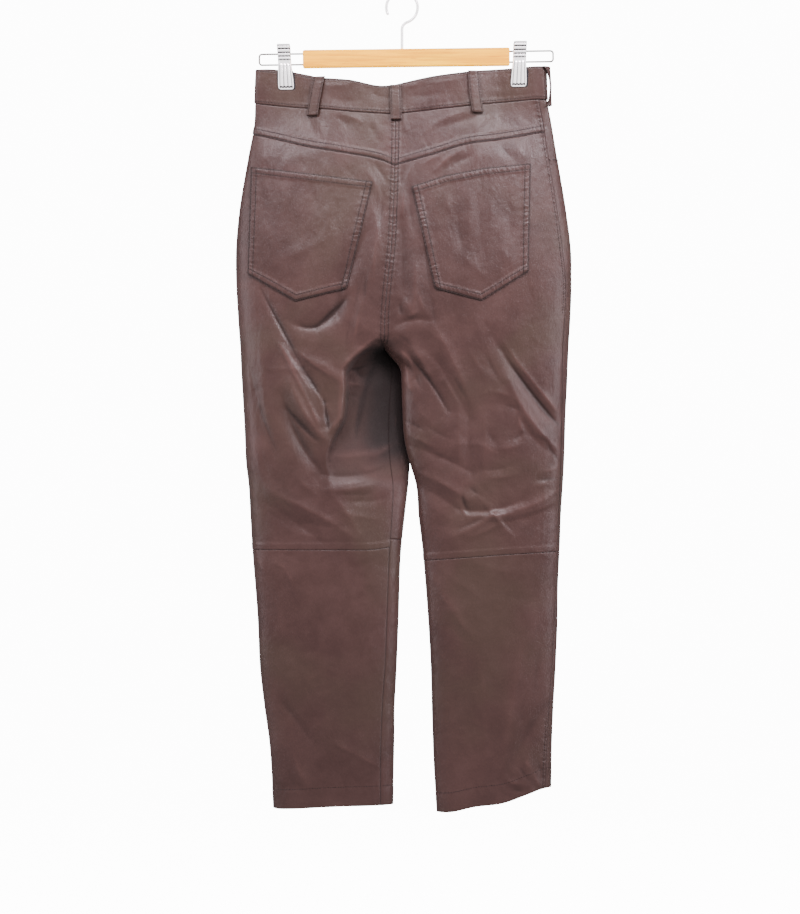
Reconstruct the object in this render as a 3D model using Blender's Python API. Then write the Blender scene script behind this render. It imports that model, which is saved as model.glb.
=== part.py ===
"""Leather trousers hung by their waistband from a wooden clip hanger.

Metres, +Z up, +X to the wearer's right, and the back of the garment faces -Y. The origin is the inside
top of the hanger's hook, where a rail would carry it. Each panel of leather is a wall of its own.
"""

import math

import bmesh
import bpy
import numpy as np
from mathutils import Vector

LEATHER = 0.0015          # wall of one panel
BAND = 0.0025             # waistband, two layers
BAND_PROUD = 0.0005       # its face, out from that of the panels
POCKET = 0.0013           # patch pocket, fly and belt loops
SEAM_GAP = 0.0003         # between two pieces sewn edge to edge
LIFT = 0.0004             # between a panel and what lies on it
EDGE = 0.75               # squareness of the flattened oval, 1 for a true ellipse
CROTCH_START = -0.436     # where the seat starts to round under
CROTCH = -0.456           # the crotch point, where the two legs part
LEG_START = -0.560        # where the outer side of each thigh has become a leg
STEP = 0.004              # reach of the differences that give a surface its slope
KNEE_STEP = 0.010         # front knee seam above the back one at the inseam
MOUTH_REACH = 0.42        # the front pocket's mouth: its share of the front's width at the band,
MOUTH_DROP = 0.078        # how far down the side seam it ends
MOUTH_END = 0.006         # and the share that is left there

CLIP_PLACES = (-0.1491, 0.1508)
PINCH_DEPTH = 0.0028      # half depth of the cloth under a clip
PINCH_ACROSS = (0.020, 0.060)             # it fades between these distances to each side
PINCH_DOWN = (-0.215, -0.128)             # and between these heights

BAR = (0.2645, 0.0120, 0.0227)            # length, thickness and height
BAR_CENTRE = (0.0054, 0.0, -0.0828)
BAR_TILT = math.radians(0.7)
HOOK_WIRE = 0.0018
HOOK_ROUND = 0.020
HOOK_BEND = 0.010
LOOP_WIRE = 0.0011
LOOP_RISE = 0.0069
LOOP_REACH = 0.188
CLIP_WIDTH = (0.0156, 0.0192)             # at the finger end and at the jaw
CLIP_PLATE = 0.0012


class Table:
    """Rows of sizes under named columns, read smoothly between rows by the first column."""

    def __init__(self, columns, *rows):
        self.columns = columns.split()
        self.rows = np.array(sorted(rows))
        self.slopes = np.gradient(self.rows, self.rows[:, 0], axis=0)

    def __call__(self, column, where):
        keys, index = self.rows[:, 0], self.columns.index(column)
        where = np.clip(where, keys[0], keys[-1])
        low = np.clip(np.searchsorted(keys, where) - 1, 0, len(keys) - 2)
        span = keys[low + 1] - keys[low]
        t = (where - keys[low]) / span
        start, end = self.rows[low, index], self.rows[low + 1, index]
        leave, arrive = self.slopes[low, index] * span, self.slopes[low + 1, index] * span
        return (start * (1 + 2 * t) * (1 - t) ** 2 + leave * t * (1 - t) ** 2
                + end * t * t * (3 - 2 * t) - arrive * t * t * (1 - t))


# The hips, from waist to crotch: the two outer edges, the half depths, the two middle seams and how
# far each side seam lies from its edge (the right one shows at the back, the left one at the front).
BODY = Table(
    "z left right back front seam_back seam_front side_left side_right",
    (-0.090, -0.1869, 0.1850, 0.010, 0.010, -0.0083, 0.0040, 0.012, 0.0120),
    (-0.135, -0.1882, 0.1862, 0.013, 0.013, -0.0083, 0.0040, 0.012, 0.0120),
    (-0.165, -0.1890, 0.1914, 0.017, 0.016, -0.0083, 0.0040, 0.012, 0.0120),
    (-0.211, -0.1971, 0.1990, 0.024, 0.022, -0.0090, 0.0030, 0.012, 0.0125),
    (-0.281, -0.2086, 0.2107, 0.032, 0.028, -0.0112, 0.0000, 0.012, 0.0128),
    (-0.327, -0.2125, 0.2163, 0.036, 0.031, -0.0135, -0.0040, 0.012, 0.0124),
    (-0.367, -0.2125, 0.2172, 0.038, 0.032, -0.0178, -0.0100, 0.012, 0.0090),
    (-0.416, -0.2099, 0.2157, 0.037, 0.032, -0.0218, -0.0190, 0.012, 0.0083),
    (-0.456, -0.2070, 0.2132, 0.035, 0.031, -0.0222, -0.0222, 0.012, 0.0083),
)

# Each leg, from crotch to hem: outer and inner edges, half depths, how far the side seam and the inseam
# lie from those edges, and the leg's shift to the front, because the thighs press past each other.
LEFT_LEG = Table(
    "z outer inner back front side inseam shift",
    (-0.416, -0.2099, -0.0185, 0.037, 0.032, 0.012, 0.000, 0.000),
    (-0.456, -0.2070, -0.0211, 0.034, 0.031, 0.012, 0.001, 0.004),
    (-0.464, -0.2064, -0.0120, 0.033, 0.031, 0.012, 0.006, 0.006),
    (-0.478, -0.2054, -0.0005, 0.032, 0.030, 0.012, 0.013, 0.007),
    (-0.500, -0.2042, 0.0038, 0.031, 0.030, 0.012, 0.018, 0.007),
    (-0.524, -0.2031, 0.0050, 0.030, 0.029, 0.012, 0.021, 0.007),
    (-0.572, -0.2010, 0.0080, 0.029, 0.028, 0.012, 0.025, 0.007),
    (-0.601, -0.1997, 0.0100, 0.028, 0.027, 0.012, 0.025, 0.006),
    (-0.628, -0.1965, 0.0083, 0.027, 0.026, 0.012, 0.020, 0.004),
    (-0.668, -0.1942, 0.0038, 0.026, 0.025, 0.012, 0.0165, 0.002),
    (-0.706, -0.1920, -0.0004, 0.025, 0.024, 0.012, 0.015, 0.000),
    (-0.802, -0.1848, -0.0042, 0.022, 0.022, 0.012, 0.015, 0.000),
    (-0.864, -0.1818, -0.0067, 0.021, 0.021, 0.012, 0.015, 0.000),
    (-0.916, -0.1757, -0.0092, 0.020, 0.020, 0.012, 0.016, 0.000),
    (-0.950, -0.1709, -0.0096, 0.020, 0.020, 0.012, 0.017, 0.000),
    (-1.046, -0.1645, -0.0115, 0.019, 0.020, 0.012, 0.016, 0.000),
)
RIGHT_LEG = Table(
    "z outer inner back front side inseam shift",
    (-0.416, 0.2157, -0.0225, 0.037, 0.032, 0.0083, 0.000, 0.000),
    (-0.456, 0.2132, -0.0226, 0.034, 0.031, 0.0083, 0.001, -0.004),
    (-0.464, 0.2128, -0.0160, 0.033, 0.031, 0.0082, 0.002, -0.007),
    (-0.478, 0.2118, -0.0040, 0.032, 0.030, 0.0080, 0.004, -0.006),
    (-0.500, 0.2110, -0.0008, 0.031, 0.030, 0.0068, 0.006, -0.007),
    (-0.524, 0.2099, 0.0000, 0.030, 0.029, 0.0058, 0.008, -0.007),
    (-0.572, 0.2086, 0.0032, 0.029, 0.028, 0.0054, 0.011, -0.007),
    (-0.601, 0.2076, 0.0098, 0.028, 0.027, 0.0050, 0.012, -0.006),
    (-0.628, 0.2061, 0.0177, 0.027, 0.026, 0.0045, 0.012, -0.004),
    (-0.668, 0.2035, 0.0211, 0.026, 0.025, 0.0035, 0.012, -0.002),
    (-0.706, 0.2022, 0.0256, 0.025, 0.024, 0.0030, 0.012, 0.000),
    (-0.760, 0.1997, 0.0303, 0.023, 0.023, 0.0025, 0.012, 0.000),
    (-0.802, 0.1992, 0.0333, 0.022, 0.022, 0.0046, 0.012, 0.000),
    (-0.860, 0.1969, 0.0366, 0.021, 0.021, 0.0056, 0.012, 0.000),
    (-0.914, 0.1938, 0.0380, 0.020, 0.020, 0.0062, 0.012, 0.000),
    (-0.990, 0.1914, 0.0407, 0.019, 0.020, 0.0083, 0.012, 0.000),
    (-1.050, 0.1901, 0.0446, 0.019, 0.020, 0.0090, 0.012, 0.000),
)

# The hollow under the seat: the left thigh falls away behind the seat's hanging edge.
HOLLOW = Table(
    "z rim depth",
    (-0.444, -0.0380, 0.000),
    (-0.451, -0.0410, 0.004),
    (-0.457, -0.0486, 0.012),
    (-0.467, -0.0614, 0.018),
    (-0.480, -0.0717, 0.021),
    (-0.510, -0.0742, 0.022),
    (-0.546, -0.0781, 0.020),
    (-0.569, -0.0896, 0.015),
    (-0.597, -0.0973, 0.006),
    (-0.629, -0.0922, 0.000),
)
HOLLOW_EDGE = 0.009                       # how far across its edge falls

# The heights of the lines across each half. s is 0 at the back's middle seam and inseam, 1 at the side
# seam and 2 at the front's middle seam, where the inseam comes round again.
LEFT_LINES = Table(
    "s top band yoke knee hem",
    (0.00, -0.1184, -0.1564, -0.2230, -0.7081, -1.0377),
    (0.08, -0.1199, -0.1556, -0.2165, -0.7105, -1.0379),
    (0.30, -0.1122, -0.1526, -0.2070, -0.7113, -1.0385),
    (0.50, -0.1089, -0.1487, -0.1999, -0.7113, -1.0400),
    (0.70, -0.1025, -0.1458, -0.1905, -0.7113, -1.0420),
    (0.84, -0.0994, -0.1430, -0.1842, -0.7113, -1.0425),
    (1.00, -0.0969, -0.1404, -0.1788, -0.7113, -1.0377),
    (1.30, -0.1040, -0.1440, -0.1880, -0.7113, -1.0370),
    (1.70, -0.1210, -0.1570, -0.2120, -0.7100, -1.0370),
    (2.00, -0.1270, -0.1640, -0.2230, -0.7081, -1.0377),
)
RIGHT_LINES = Table(
    "s top band yoke knee hem",
    (0.00, -0.1184, -0.1564, -0.2230, -0.7266, -1.0466),
    (0.10, -0.1140, -0.1540, -0.2170, -0.7255, -1.0470),
    (0.25, -0.1080, -0.1505, -0.2085, -0.7235, -1.0466),
    (0.44, -0.1030, -0.1466, -0.1967, -0.7205, -1.0395),
    (0.68, -0.0985, -0.1412, -0.1890, -0.7170, -1.0340),
    (0.86, -0.0958, -0.1380, -0.1830, -0.7151, -1.0235),
    (1.00, -0.0936, -0.1359, -0.1788, -0.7138, -1.0159),
    (1.30, -0.1010, -0.1420, -0.1880, -0.7170, -1.0250),
    (1.70, -0.1200, -0.1570, -0.2120, -0.7230, -1.0420),
    (2.00, -0.1270, -0.1640, -0.2230, -0.7266, -1.0466),
)

# The folds of each face, a row for each: the two ends, the bow of the line between them, its reach to
# the right or upper side and to the left or lower one, and its height, which is negative for a trough.
BACK_FOLDS = (
    # x0      z0       x1       z1       bow    right   left    height
    (-0.0397, -0.2710, -0.0282, -0.3439, -0.0038, 0.0090, 0.0140, 0.0024),
    (-0.0640, -0.3439, -0.0819, -0.4130, 0.0038, 0.0070, 0.0100, -0.0036),
    (-0.0461, -0.3106, -0.0640, -0.3670, 0.0026, 0.0080, 0.0080, -0.0020),
    (-0.0384, -0.3439, -0.0512, -0.4310, 0.0013, 0.0070, 0.0070, 0.0018),
    (0.0000, -0.2927, 0.0026, -0.3926, 0.0000, 0.0070, 0.0090, -0.0032),
    (0.0154, -0.3439, 0.0128, -0.4156, -0.0026, 0.0080, 0.0070, 0.0029),
    (-0.0051, -0.4258, 0.0358, -0.4207, -0.0038, 0.0060, 0.0070, -0.0029),
    (0.0026, -0.3926, 0.0128, -0.4130, 0.0000, 0.0070, 0.0070, 0.0021),
    (-0.1792, -0.3798, -0.1306, -0.4694, 0.0013, 0.0120, 0.0060, -0.0018),
    (-0.1306, -0.4694, -0.0973, -0.5231, 0.0000, 0.0110, 0.0050, -0.0024),
    (-0.0691, -0.3887, -0.1075, -0.4297, -0.0051, 0.0080, 0.0060, -0.0040),
    (-0.1075, -0.4297, -0.1459, -0.4194, -0.0038, 0.0060, 0.0080, -0.0016),
    (-0.1229, -0.4668, -0.0768, -0.4950, -0.0026, 0.0070, 0.0090, 0.0021),
    (-0.1408, -0.5001, -0.0973, -0.5718, 0.0051, 0.0100, 0.0090, 0.0048),
    (-0.1510, -0.5180, -0.1050, -0.6102, 0.0064, 0.0080, 0.0100, -0.0060),
    (-0.1024, -0.6153, -0.0282, -0.6102, 0.0051, 0.0080, 0.0100, -0.0036),
    (-0.0896, -0.5999, -0.0230, -0.5871, 0.0038, 0.0090, 0.0080, 0.0040),
    (-0.0717, -0.4847, -0.0781, -0.5513, 0.0000, 0.0060, 0.0080, 0.0028),
    (-0.0333, -0.4514, -0.0691, -0.4719, -0.0038, 0.0070, 0.0080, 0.0024),
    (-0.1920, -0.4847, -0.1613, -0.5922, 0.0064, 0.0080, 0.0090, -0.0024),
    (-0.1792, -0.4310, -0.1715, -0.5590, 0.0026, 0.0120, 0.0120, 0.0019),
    (-0.1690, -0.6383, -0.0589, -0.6972, -0.0038, 0.0090, 0.0090, 0.0026),
    (-0.0922, -0.6383, -0.0538, -0.6921, -0.0026, 0.0090, 0.0080, 0.0021),
    (-0.1792, -0.6486, -0.0922, -0.7100, -0.0026, 0.0120, 0.0120, -0.0024),
    (-0.0947, -0.6358, -0.0358, -0.6281, 0.0026, 0.0070, 0.0070, 0.0018),
    (-0.0717, -0.6486, -0.0230, -0.6460, 0.0026, 0.0080, 0.0080, -0.0019),
    (-0.0077, -0.4335, 0.0435, -0.5129, -0.0064, 0.0080, 0.0090, 0.0034),
    (0.0026, -0.4591, 0.0589, -0.5359, -0.0038, 0.0090, 0.0090, -0.0029),
    (0.0333, -0.4156, 0.0896, -0.5334, -0.0038, 0.0090, 0.0120, 0.0026),
    (0.0384, -0.4591, 0.0870, -0.5462, 0.0000, 0.0080, 0.0080, -0.0021),
    (0.1152, -0.4412, 0.2022, -0.5590, 0.0051, 0.0140, 0.0070, -0.0035),
    (0.1357, -0.4950, 0.2048, -0.5871, 0.0090, 0.0080, 0.0090, 0.0037),
    (0.1408, -0.5180, 0.1869, -0.5871, 0.0077, 0.0080, 0.0120, -0.0026),
    (0.0883, -0.5282, 0.0896, -0.6383, 0.0000, 0.0090, 0.0090, -0.0042),
    (0.0717, -0.5334, 0.0730, -0.6178, 0.0000, 0.0070, 0.0070, 0.0021),
    (0.1050, -0.5462, 0.1037, -0.6306, 0.0000, 0.0070, 0.0070, 0.0019),
    (0.0102, -0.5794, 0.0870, -0.6127, -0.0026, 0.0070, 0.0080, -0.0027),
    (0.0154, -0.6102, 0.0845, -0.6486, -0.0026, 0.0080, 0.0080, 0.0027),
    (0.0154, -0.6281, 0.0768, -0.6639, -0.0026, 0.0080, 0.0080, -0.0021),
    (0.1178, -0.5820, 0.1562, -0.5743, 0.0038, 0.0120, 0.0100, 0.0021),
    (0.0845, -0.6690, 0.2022, -0.6332, 0.0115, 0.0090, 0.0100, 0.0037),
    (0.0691, -0.6588, 0.1510, -0.6486, 0.0077, 0.0080, 0.0090, -0.0037),
    (0.1050, -0.6767, 0.1920, -0.6562, 0.0064, 0.0080, 0.0100, -0.0024),
    (0.0973, -0.6460, 0.1408, -0.6946, 0.0000, 0.0070, 0.0070, 0.0022),
    (0.0640, -0.6946, 0.1178, -0.6665, 0.0026, 0.0080, 0.0080, 0.0022),
    (0.1690, -0.6306, 0.2022, -0.6153, 0.0026, 0.0090, 0.0090, 0.0026),
    (0.2022, -0.5718, 0.1971, -0.6230, 0.0000, 0.0090, 0.0090, 0.0021),
    (0.1562, -0.8278, 0.1293, -1.0018, 0.0038, 0.0120, 0.0150, 0.0026),
    (0.1869, -0.9046, 0.1357, -0.9942, 0.0038, 0.0120, 0.0080, -0.0037),
    (0.1638, -0.9558, 0.1536, -1.0198, 0.0000, 0.0090, 0.0090, 0.0024),
    (-0.1626, -0.8918, -0.1101, -0.9583, -0.0026, 0.0100, 0.0120, -0.0018),
    (-0.1434, -0.9686, -0.1178, -1.0198, 0.0000, 0.0100, 0.0100, 0.0016),
    (0.0486, -0.7574, 0.0870, -0.8175, 0.0000, 0.0100, 0.0100, 0.0018),
    (-0.1869, -0.7151, -0.1766, -0.7407, 0.0000, 0.0060, 0.0060, 0.0013),
)
FRONT_FOLDS = (
    (0.0000, -0.3100, -0.0200, -0.4300, 0.002, 0.014, 0.014, -0.0040),
    (-0.0300, -0.4200, -0.1000, -0.4700, 0.006, 0.013, 0.013, -0.0045),
    (-0.0350, -0.4600, -0.1100, -0.5400, 0.006, 0.014, 0.014, 0.0040),
    (0.0250, -0.4150, 0.0950, -0.4600, -0.006, 0.013, 0.013, -0.0045),
    (0.0350, -0.4700, 0.1100, -0.5300, -0.006, 0.014, 0.014, 0.0040),
    (-0.1700, -0.5600, -0.0900, -0.6700, 0.004, 0.014, 0.014, -0.0040),
    (0.1750, -0.5400, 0.1000, -0.6400, 0.004, 0.014, 0.014, -0.0040),
    (-0.1500, -0.6900, -0.0500, -0.6750, 0.004, 0.012, 0.012, -0.0040),
    (0.0600, -0.6850, 0.1600, -0.7000, 0.004, 0.012, 0.012, -0.0040),
    (-0.1300, -0.8200, -0.0800, -0.9800, 0.004, 0.014, 0.014, 0.0030),
    (0.1500, -0.8300, 0.1000, -0.9700, 0.004, 0.014, 0.014, 0.0030),
)

# Corners of the patch pockets as they lie on the back, round from the mouth's outer or inner end.
LEFT_POCKET = ((-0.1920, -0.2236), (-0.0371, -0.2441), (-0.0698, -0.3798), (-0.1349, -0.3956),
               (-0.1958, -0.3606))
RIGHT_POCKET = ((0.0122, -0.2505), (0.0540, -0.2365), (0.1062, -0.2262), (0.1638, -0.2198),
                (0.1600, -0.3580), (0.1006, -0.3951), (0.0416, -0.3798))
FLY = ((0.0060, -0.1680), (0.0400, -0.1665), (0.0380, -0.2900), (0.0290, -0.3180), (0.0100, -0.3330),
       (0.0000, -0.3330))

# Belt loops: half, place across at the top and at the foot, how far above the band's top and below its
# seam each reaches, and how far its middle stands clear of the leather.
BELT_LOOPS = {
    "belt_loop_back_left": ("left", 0.498, 0.535, 0.001, 0.0100, 0.0030),
    "belt_loop_back_centre": ("right", 0.000, 0.005, -0.001, 0.0080, 0.0030),
    "belt_loop_back_right": ("right", 0.545, 0.560, 0.000, 0.0105, 0.0030),
    "belt_loop_front_left": ("left", 1.500, 1.510, 0.001, 0.0100, 0.0030),
    "belt_loop_front_right": ("right", 1.082, 1.088, 0.000, 0.0085, 0.0062),
}
LOOP_WIDTH = 0.0148
LOOP_STAND = 0.0007                       # clear of the leather at a loop's ends

COLOURS = {
    "leather": ((0.145, 0.085, 0.078), 0.42, 0.0),
    "wood": ((0.62, 0.40, 0.20), 0.50, 0.0),
    "steel": ((0.72, 0.72, 0.74), 0.22, 1.0),
}

LEGS = {"left": LEFT_LEG, "right": RIGHT_LEG}
LINES = {"left": LEFT_LINES, "right": RIGHT_LINES}


def blend(low, high, share):
    return low + (high - low) * share


def smooth(low, high, value):
    """0 at low, 1 at high and a soft ramp between."""
    t = np.clip((value - low) / (high - low), 0, 1)
    return t * t * (3 - 2 * t)


def columns(start, end, count, crowd):
    """Places across a panel, closer together towards its two sides, where the cloth turns an edge."""
    t = np.linspace(0, 1, count)
    return blend(start, end, t - crowd * np.sin(2 * math.pi * t))


def edge_angle(half_width, inset):
    """The angle from an oval's edge to the place that lies an inset in from it."""
    return np.arccos(np.clip(1 - inset / half_width, -1, 1) ** (1 / EDGE))


def face_angle(centre, half_width, x):
    """The angle, from the right edge, of the place at x on an oval's face."""
    cos = np.clip((x - centre) / half_width, -1, 1)
    return np.arccos(np.sign(cos) * np.abs(cos) ** (1 / EDGE))


def oval(centre, half_width, back, front, angle):
    """A flattened oval: angle 0 is its right edge, a quarter turn its back and a half its left."""
    cos, sin = np.cos(angle), np.sin(angle)
    x = centre + half_width * np.sign(cos) * np.abs(cos) ** EDGE
    return x, -np.where(sin > 0, back, front) * sin


def oval_share(sizes, turns, s):
    """The place at s on an oval whose three seams, s 0, 1 and 2, lie at three angles."""
    start = np.where(s <= 1, turns[0], turns[1])
    end = np.where(s <= 1, turns[1], turns[2])
    share = np.where(s <= 1, s, s - 1)
    angles = start[:, None] + (end - start)[:, None] * np.linspace(0, 1, 49)
    x, y = oval(*(size[:, None] for size in sizes), angles)
    steps = np.hypot(np.diff(x, axis=1), np.diff(y, axis=1))
    run = np.concatenate([np.zeros((len(s), 1)), np.cumsum(steps, axis=1)], axis=1)
    want = share * run[:, -1]
    high = np.clip((run < want[:, None]).sum(axis=1), 1, run.shape[1] - 1)
    rows = np.arange(len(s))
    t = (want - run[rows, high - 1]) / (run[rows, high] - run[rows, high - 1])
    return blend(x[rows, high - 1], x[rows, high], t), blend(y[rows, high - 1], y[rows, high], t)


def hip_section(half, s, z):
    left, right = BODY("left", z), BODY("right", z)
    sizes = ((left + right) / 2, (right - left) / 2, BODY("back", z), BODY("front", z))
    back = face_angle(sizes[0], sizes[1], BODY("seam_back", z))
    front = 2 * math.pi - face_angle(sizes[0], sizes[1], BODY("seam_front", z))
    if half == "left":
        return oval_share(sizes, (back, math.pi + edge_angle(sizes[1], BODY("side_left", z)), front), s)
    side = edge_angle(sizes[1], BODY("side_right", z))
    return oval_share(sizes, (back, side, front - 2 * math.pi), s)


def leg_section(half, s, z):
    leg = LEGS[half]
    outer, inner = leg("outer", z), leg("inner", z)
    sizes = ((outer + inner) / 2, np.abs(outer - inner) / 2, leg("back", z), leg("front", z))
    inseam = edge_angle(sizes[1], leg("inseam", z))
    side = edge_angle(sizes[1], leg("side", z))
    turns = (inseam, math.pi + side, inseam + 2 * math.pi)
    if half == "right":
        turns = (math.pi + inseam, side, inseam - math.pi)
    x, y = oval_share(sizes, turns, s)
    near = 1 - smooth(0.0, 0.42, 1 - np.abs(s - 1))
    return x, y + leg("shift", z) * near


def relief(rows, x, z):
    """The height that a face's folds add at each place."""
    total = np.zeros_like(x)
    for x0, z0, x1, z1, bow, right, left, height in rows:
        length = math.hypot(x1 - x0, z1 - z0)
        along = ((x - x0) * (x1 - x0) + (z - z0) * (z1 - z0)) / length ** 2
        t = np.clip(along, 0, 1)
        across = ((x - x0) * (z1 - z0) - (z - z0) * (x1 - x0)) / length - bow * 4 * t * (1 - t)
        beyond = (along - t) * length
        fade = 0.45 + 0.55 * np.sin(math.pi * t)
        away = np.hypot(across, beyond) / np.where(across < 0, right, left)
        total += height * fade * np.exp(-away ** (2.0 if height > 0 else 1.5))
    return total


def skin(half, s, z):
    """The outer face of the leather at s round a half and height z, as points."""
    shape = np.broadcast(s, z).shape
    s, z = (np.broadcast_to(value, shape).ravel().astype(float) for value in (s, z))
    away = smooth(0.0, 0.45, 1 - np.abs(s - 1))
    start, end = CROTCH_START + 0.050 * away, blend(CROTCH, LEG_START, away)
    under = np.clip((start - z) / (start - end), 0, 1)
    round_off = 1 - np.sqrt(1 - under ** 2)
    closing = blend(round_off, smooth(0, 1, under), smooth(0.0, 0.35, away))
    hip, leg = hip_section(half, s, z), leg_section(half, s, z)
    leg_back, leg_front = LEGS[half]("back", z), LEGS[half]("front", z)
    x, y = blend(hip[0], leg[0], closing), blend(hip[1], leg[1], closing)
    for place in CLIP_PLACES:
        pinch = smooth(*PINCH_DOWN, z) * (1 - smooth(*PINCH_ACROSS, np.abs(x - place)))
        y = blend(y, np.clip(y, -PINCH_DEPTH, PINCH_DEPTH), pinch)
    facing = smooth(0.0, 0.8, np.abs(y) / BODY("back", z))
    if half == "left":
        fallen = smooth(0.0, HOLLOW_EDGE, x - HOLLOW("rim", z)) * HOLLOW("depth", z)
        y = y + fallen * np.clip((leg_front - y) / (leg_front + leg_back), 0, 1)
    y = y - facing * np.where(y < 0, relief(BACK_FOLDS, x, z), -relief(FRONT_FOLDS, x, z))
    return np.stack([x, y, z], axis=-1).reshape(*shape, 3)


def skin_and_normals(half, s, z):
    """Points of the skin, with the directions that point out of the garment."""
    s, z = np.broadcast_arrays(s, z)
    reach = STEP / 0.2
    across = skin(half, s + reach, z) - skin(half, s - reach, z)
    down = skin(half, s, z - STEP) - skin(half, s, z + STEP)
    normals = np.cross(down, across) * (-1 if half == "left" else 1)
    return skin(half, s, z), normals / np.linalg.norm(normals, axis=-1, keepdims=True)


def material(name):
    found = bpy.data.materials.get(name)
    if found:
        return found
    colour, roughness, metallic = COLOURS[name]
    made = bpy.data.materials.new(name)
    made.use_nodes = True
    shader = made.node_tree.nodes["Principled BSDF"]
    shader.inputs["Base Color"].default_value = (*colour, 1)
    shader.inputs["Roughness"].default_value = roughness
    shader.inputs["Metallic"].default_value = metallic
    return made


def add_object(name, mesh, finish):
    made = bpy.data.objects.new(name, mesh)
    mesh.materials.append(material(finish))
    bpy.context.scene.collection.objects.link(made)
    return made


def object_from(name, work, finish):
    bmesh.ops.recalc_face_normals(work, faces=work.faces)
    mesh = bpy.data.meshes.new(name)
    work.to_mesh(mesh)
    work.free()
    mesh.shade_smooth()
    mesh.set_sharp_from_angle(angle=math.radians(40))
    return add_object(name, mesh, finish)


def grid_faces(work, points):
    """A grid of points as triangles, each square cut along the same diagonal."""
    verts = [[work.verts.new(point) for point in row] for row in points]
    for upper, lower in zip(verts, verts[1:]):
        for a, b, c, d in zip(upper, upper[1:], lower[1:], lower):
            work.faces.new((a, b, c))
            work.faces.new((a, c, d))
    return verts


def add_wall(name, outer, inner, finish="leather"):
    """A closed wall between an outer and an inner grid of points."""
    work = bmesh.new()
    skins = grid_faces(work, outer), grid_faces(work, inner)
    rims = [[*rows[0], *(row[-1] for row in rows[1:-1]), *rows[-1][::-1],
             *(row[0] for row in rows[-2:0:-1])] for rows in skins]
    for i in range(len(rims[0])):
        work.faces.new((rims[0][i - 1], rims[0][i], rims[1][i], rims[1][i - 1]))
    return object_from(name, work, finish)


def add_panel(name, half, s, z, proud=0.0, wall=LEATHER):
    points, normals = skin_and_normals(half, s, z)
    outer = points + normals * proud
    return add_wall(name, outer, outer - normals * wall), outer


def add_patch(name, outer, outline, side):
    """A piece laid on a panel: the panel's own faces inside an outline, moved out."""
    work = bmesh.new()
    grid_faces(work, outer)
    middle = np.mean(outline, axis=0)
    for (x0, z0), (x1, z1) in zip(outline, outline[1:] + outline[:1]):
        normal = np.array((z1 - z0, 0, x0 - x1))
        if normal @ (middle[0] - x0, 0, middle[1] - z0) > 0:
            normal = -normal
        geometry = work.verts[:] + work.edges[:] + work.faces[:]
        bmesh.ops.bisect_plane(work, geom=geometry, plane_co=(x0, 0, z0), plane_no=normal,
                               clear_outer=True, dist=1e-6)
    other = [face for face in work.faces if face.calc_center_median().y * side < 0]
    bmesh.ops.delete(work, geom=other, context="FACES")
    bmesh.ops.remove_doubles(work, verts=work.verts, dist=2e-5)
    bmesh.ops.recalc_face_normals(work, faces=work.faces)
    if sum(face.normal.y for face in work.faces) * side < 0:
        bmesh.ops.reverse_faces(work, faces=work.faces)
    work.normal_update()
    rim = [edge for edge in work.edges if edge.is_boundary]
    low = {vert: vert.co + vert.normal * LIFT for vert in work.verts}
    high = {vert: work.verts.new(vert.co + vert.normal * (LIFT + POCKET)) for vert in list(work.verts)}
    for face in list(work.faces):
        work.faces.new([high[vert] for vert in face.verts])
    for edge in rim:
        a, b = edge.verts
        work.faces.new((a, b, high[b], high[a]))
    for vert, place in low.items():
        vert.co = place
    return object_from(name, work, "leather")


def add_belt_loop(name, half, s_top, s_foot, above, below, bulge):
    rows = 7
    share = np.linspace(0, 1, rows)[:, None]
    centre = blend(s_top, s_foot, share)
    top = LINES[half]("top", centre) + above
    foot = LINES[half]("band", centre) - below
    s = centre + np.linspace(-0.5, 0.5, 7) * LOOP_WIDTH / 0.2
    points, normals = skin_and_normals(half, s, blend(top, foot, share))
    away = normals.mean(axis=1, keepdims=True)
    away /= np.linalg.norm(away, axis=-1, keepdims=True)
    clear = ((bulge - LOOP_STAND) * np.sin(math.pi * share) ** 0.5)[..., None]
    inner = points + normals * (LOOP_STAND + LIFT + 0.0006) + away * clear
    return add_wall(name, inner + normals * POCKET, inner)


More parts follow.
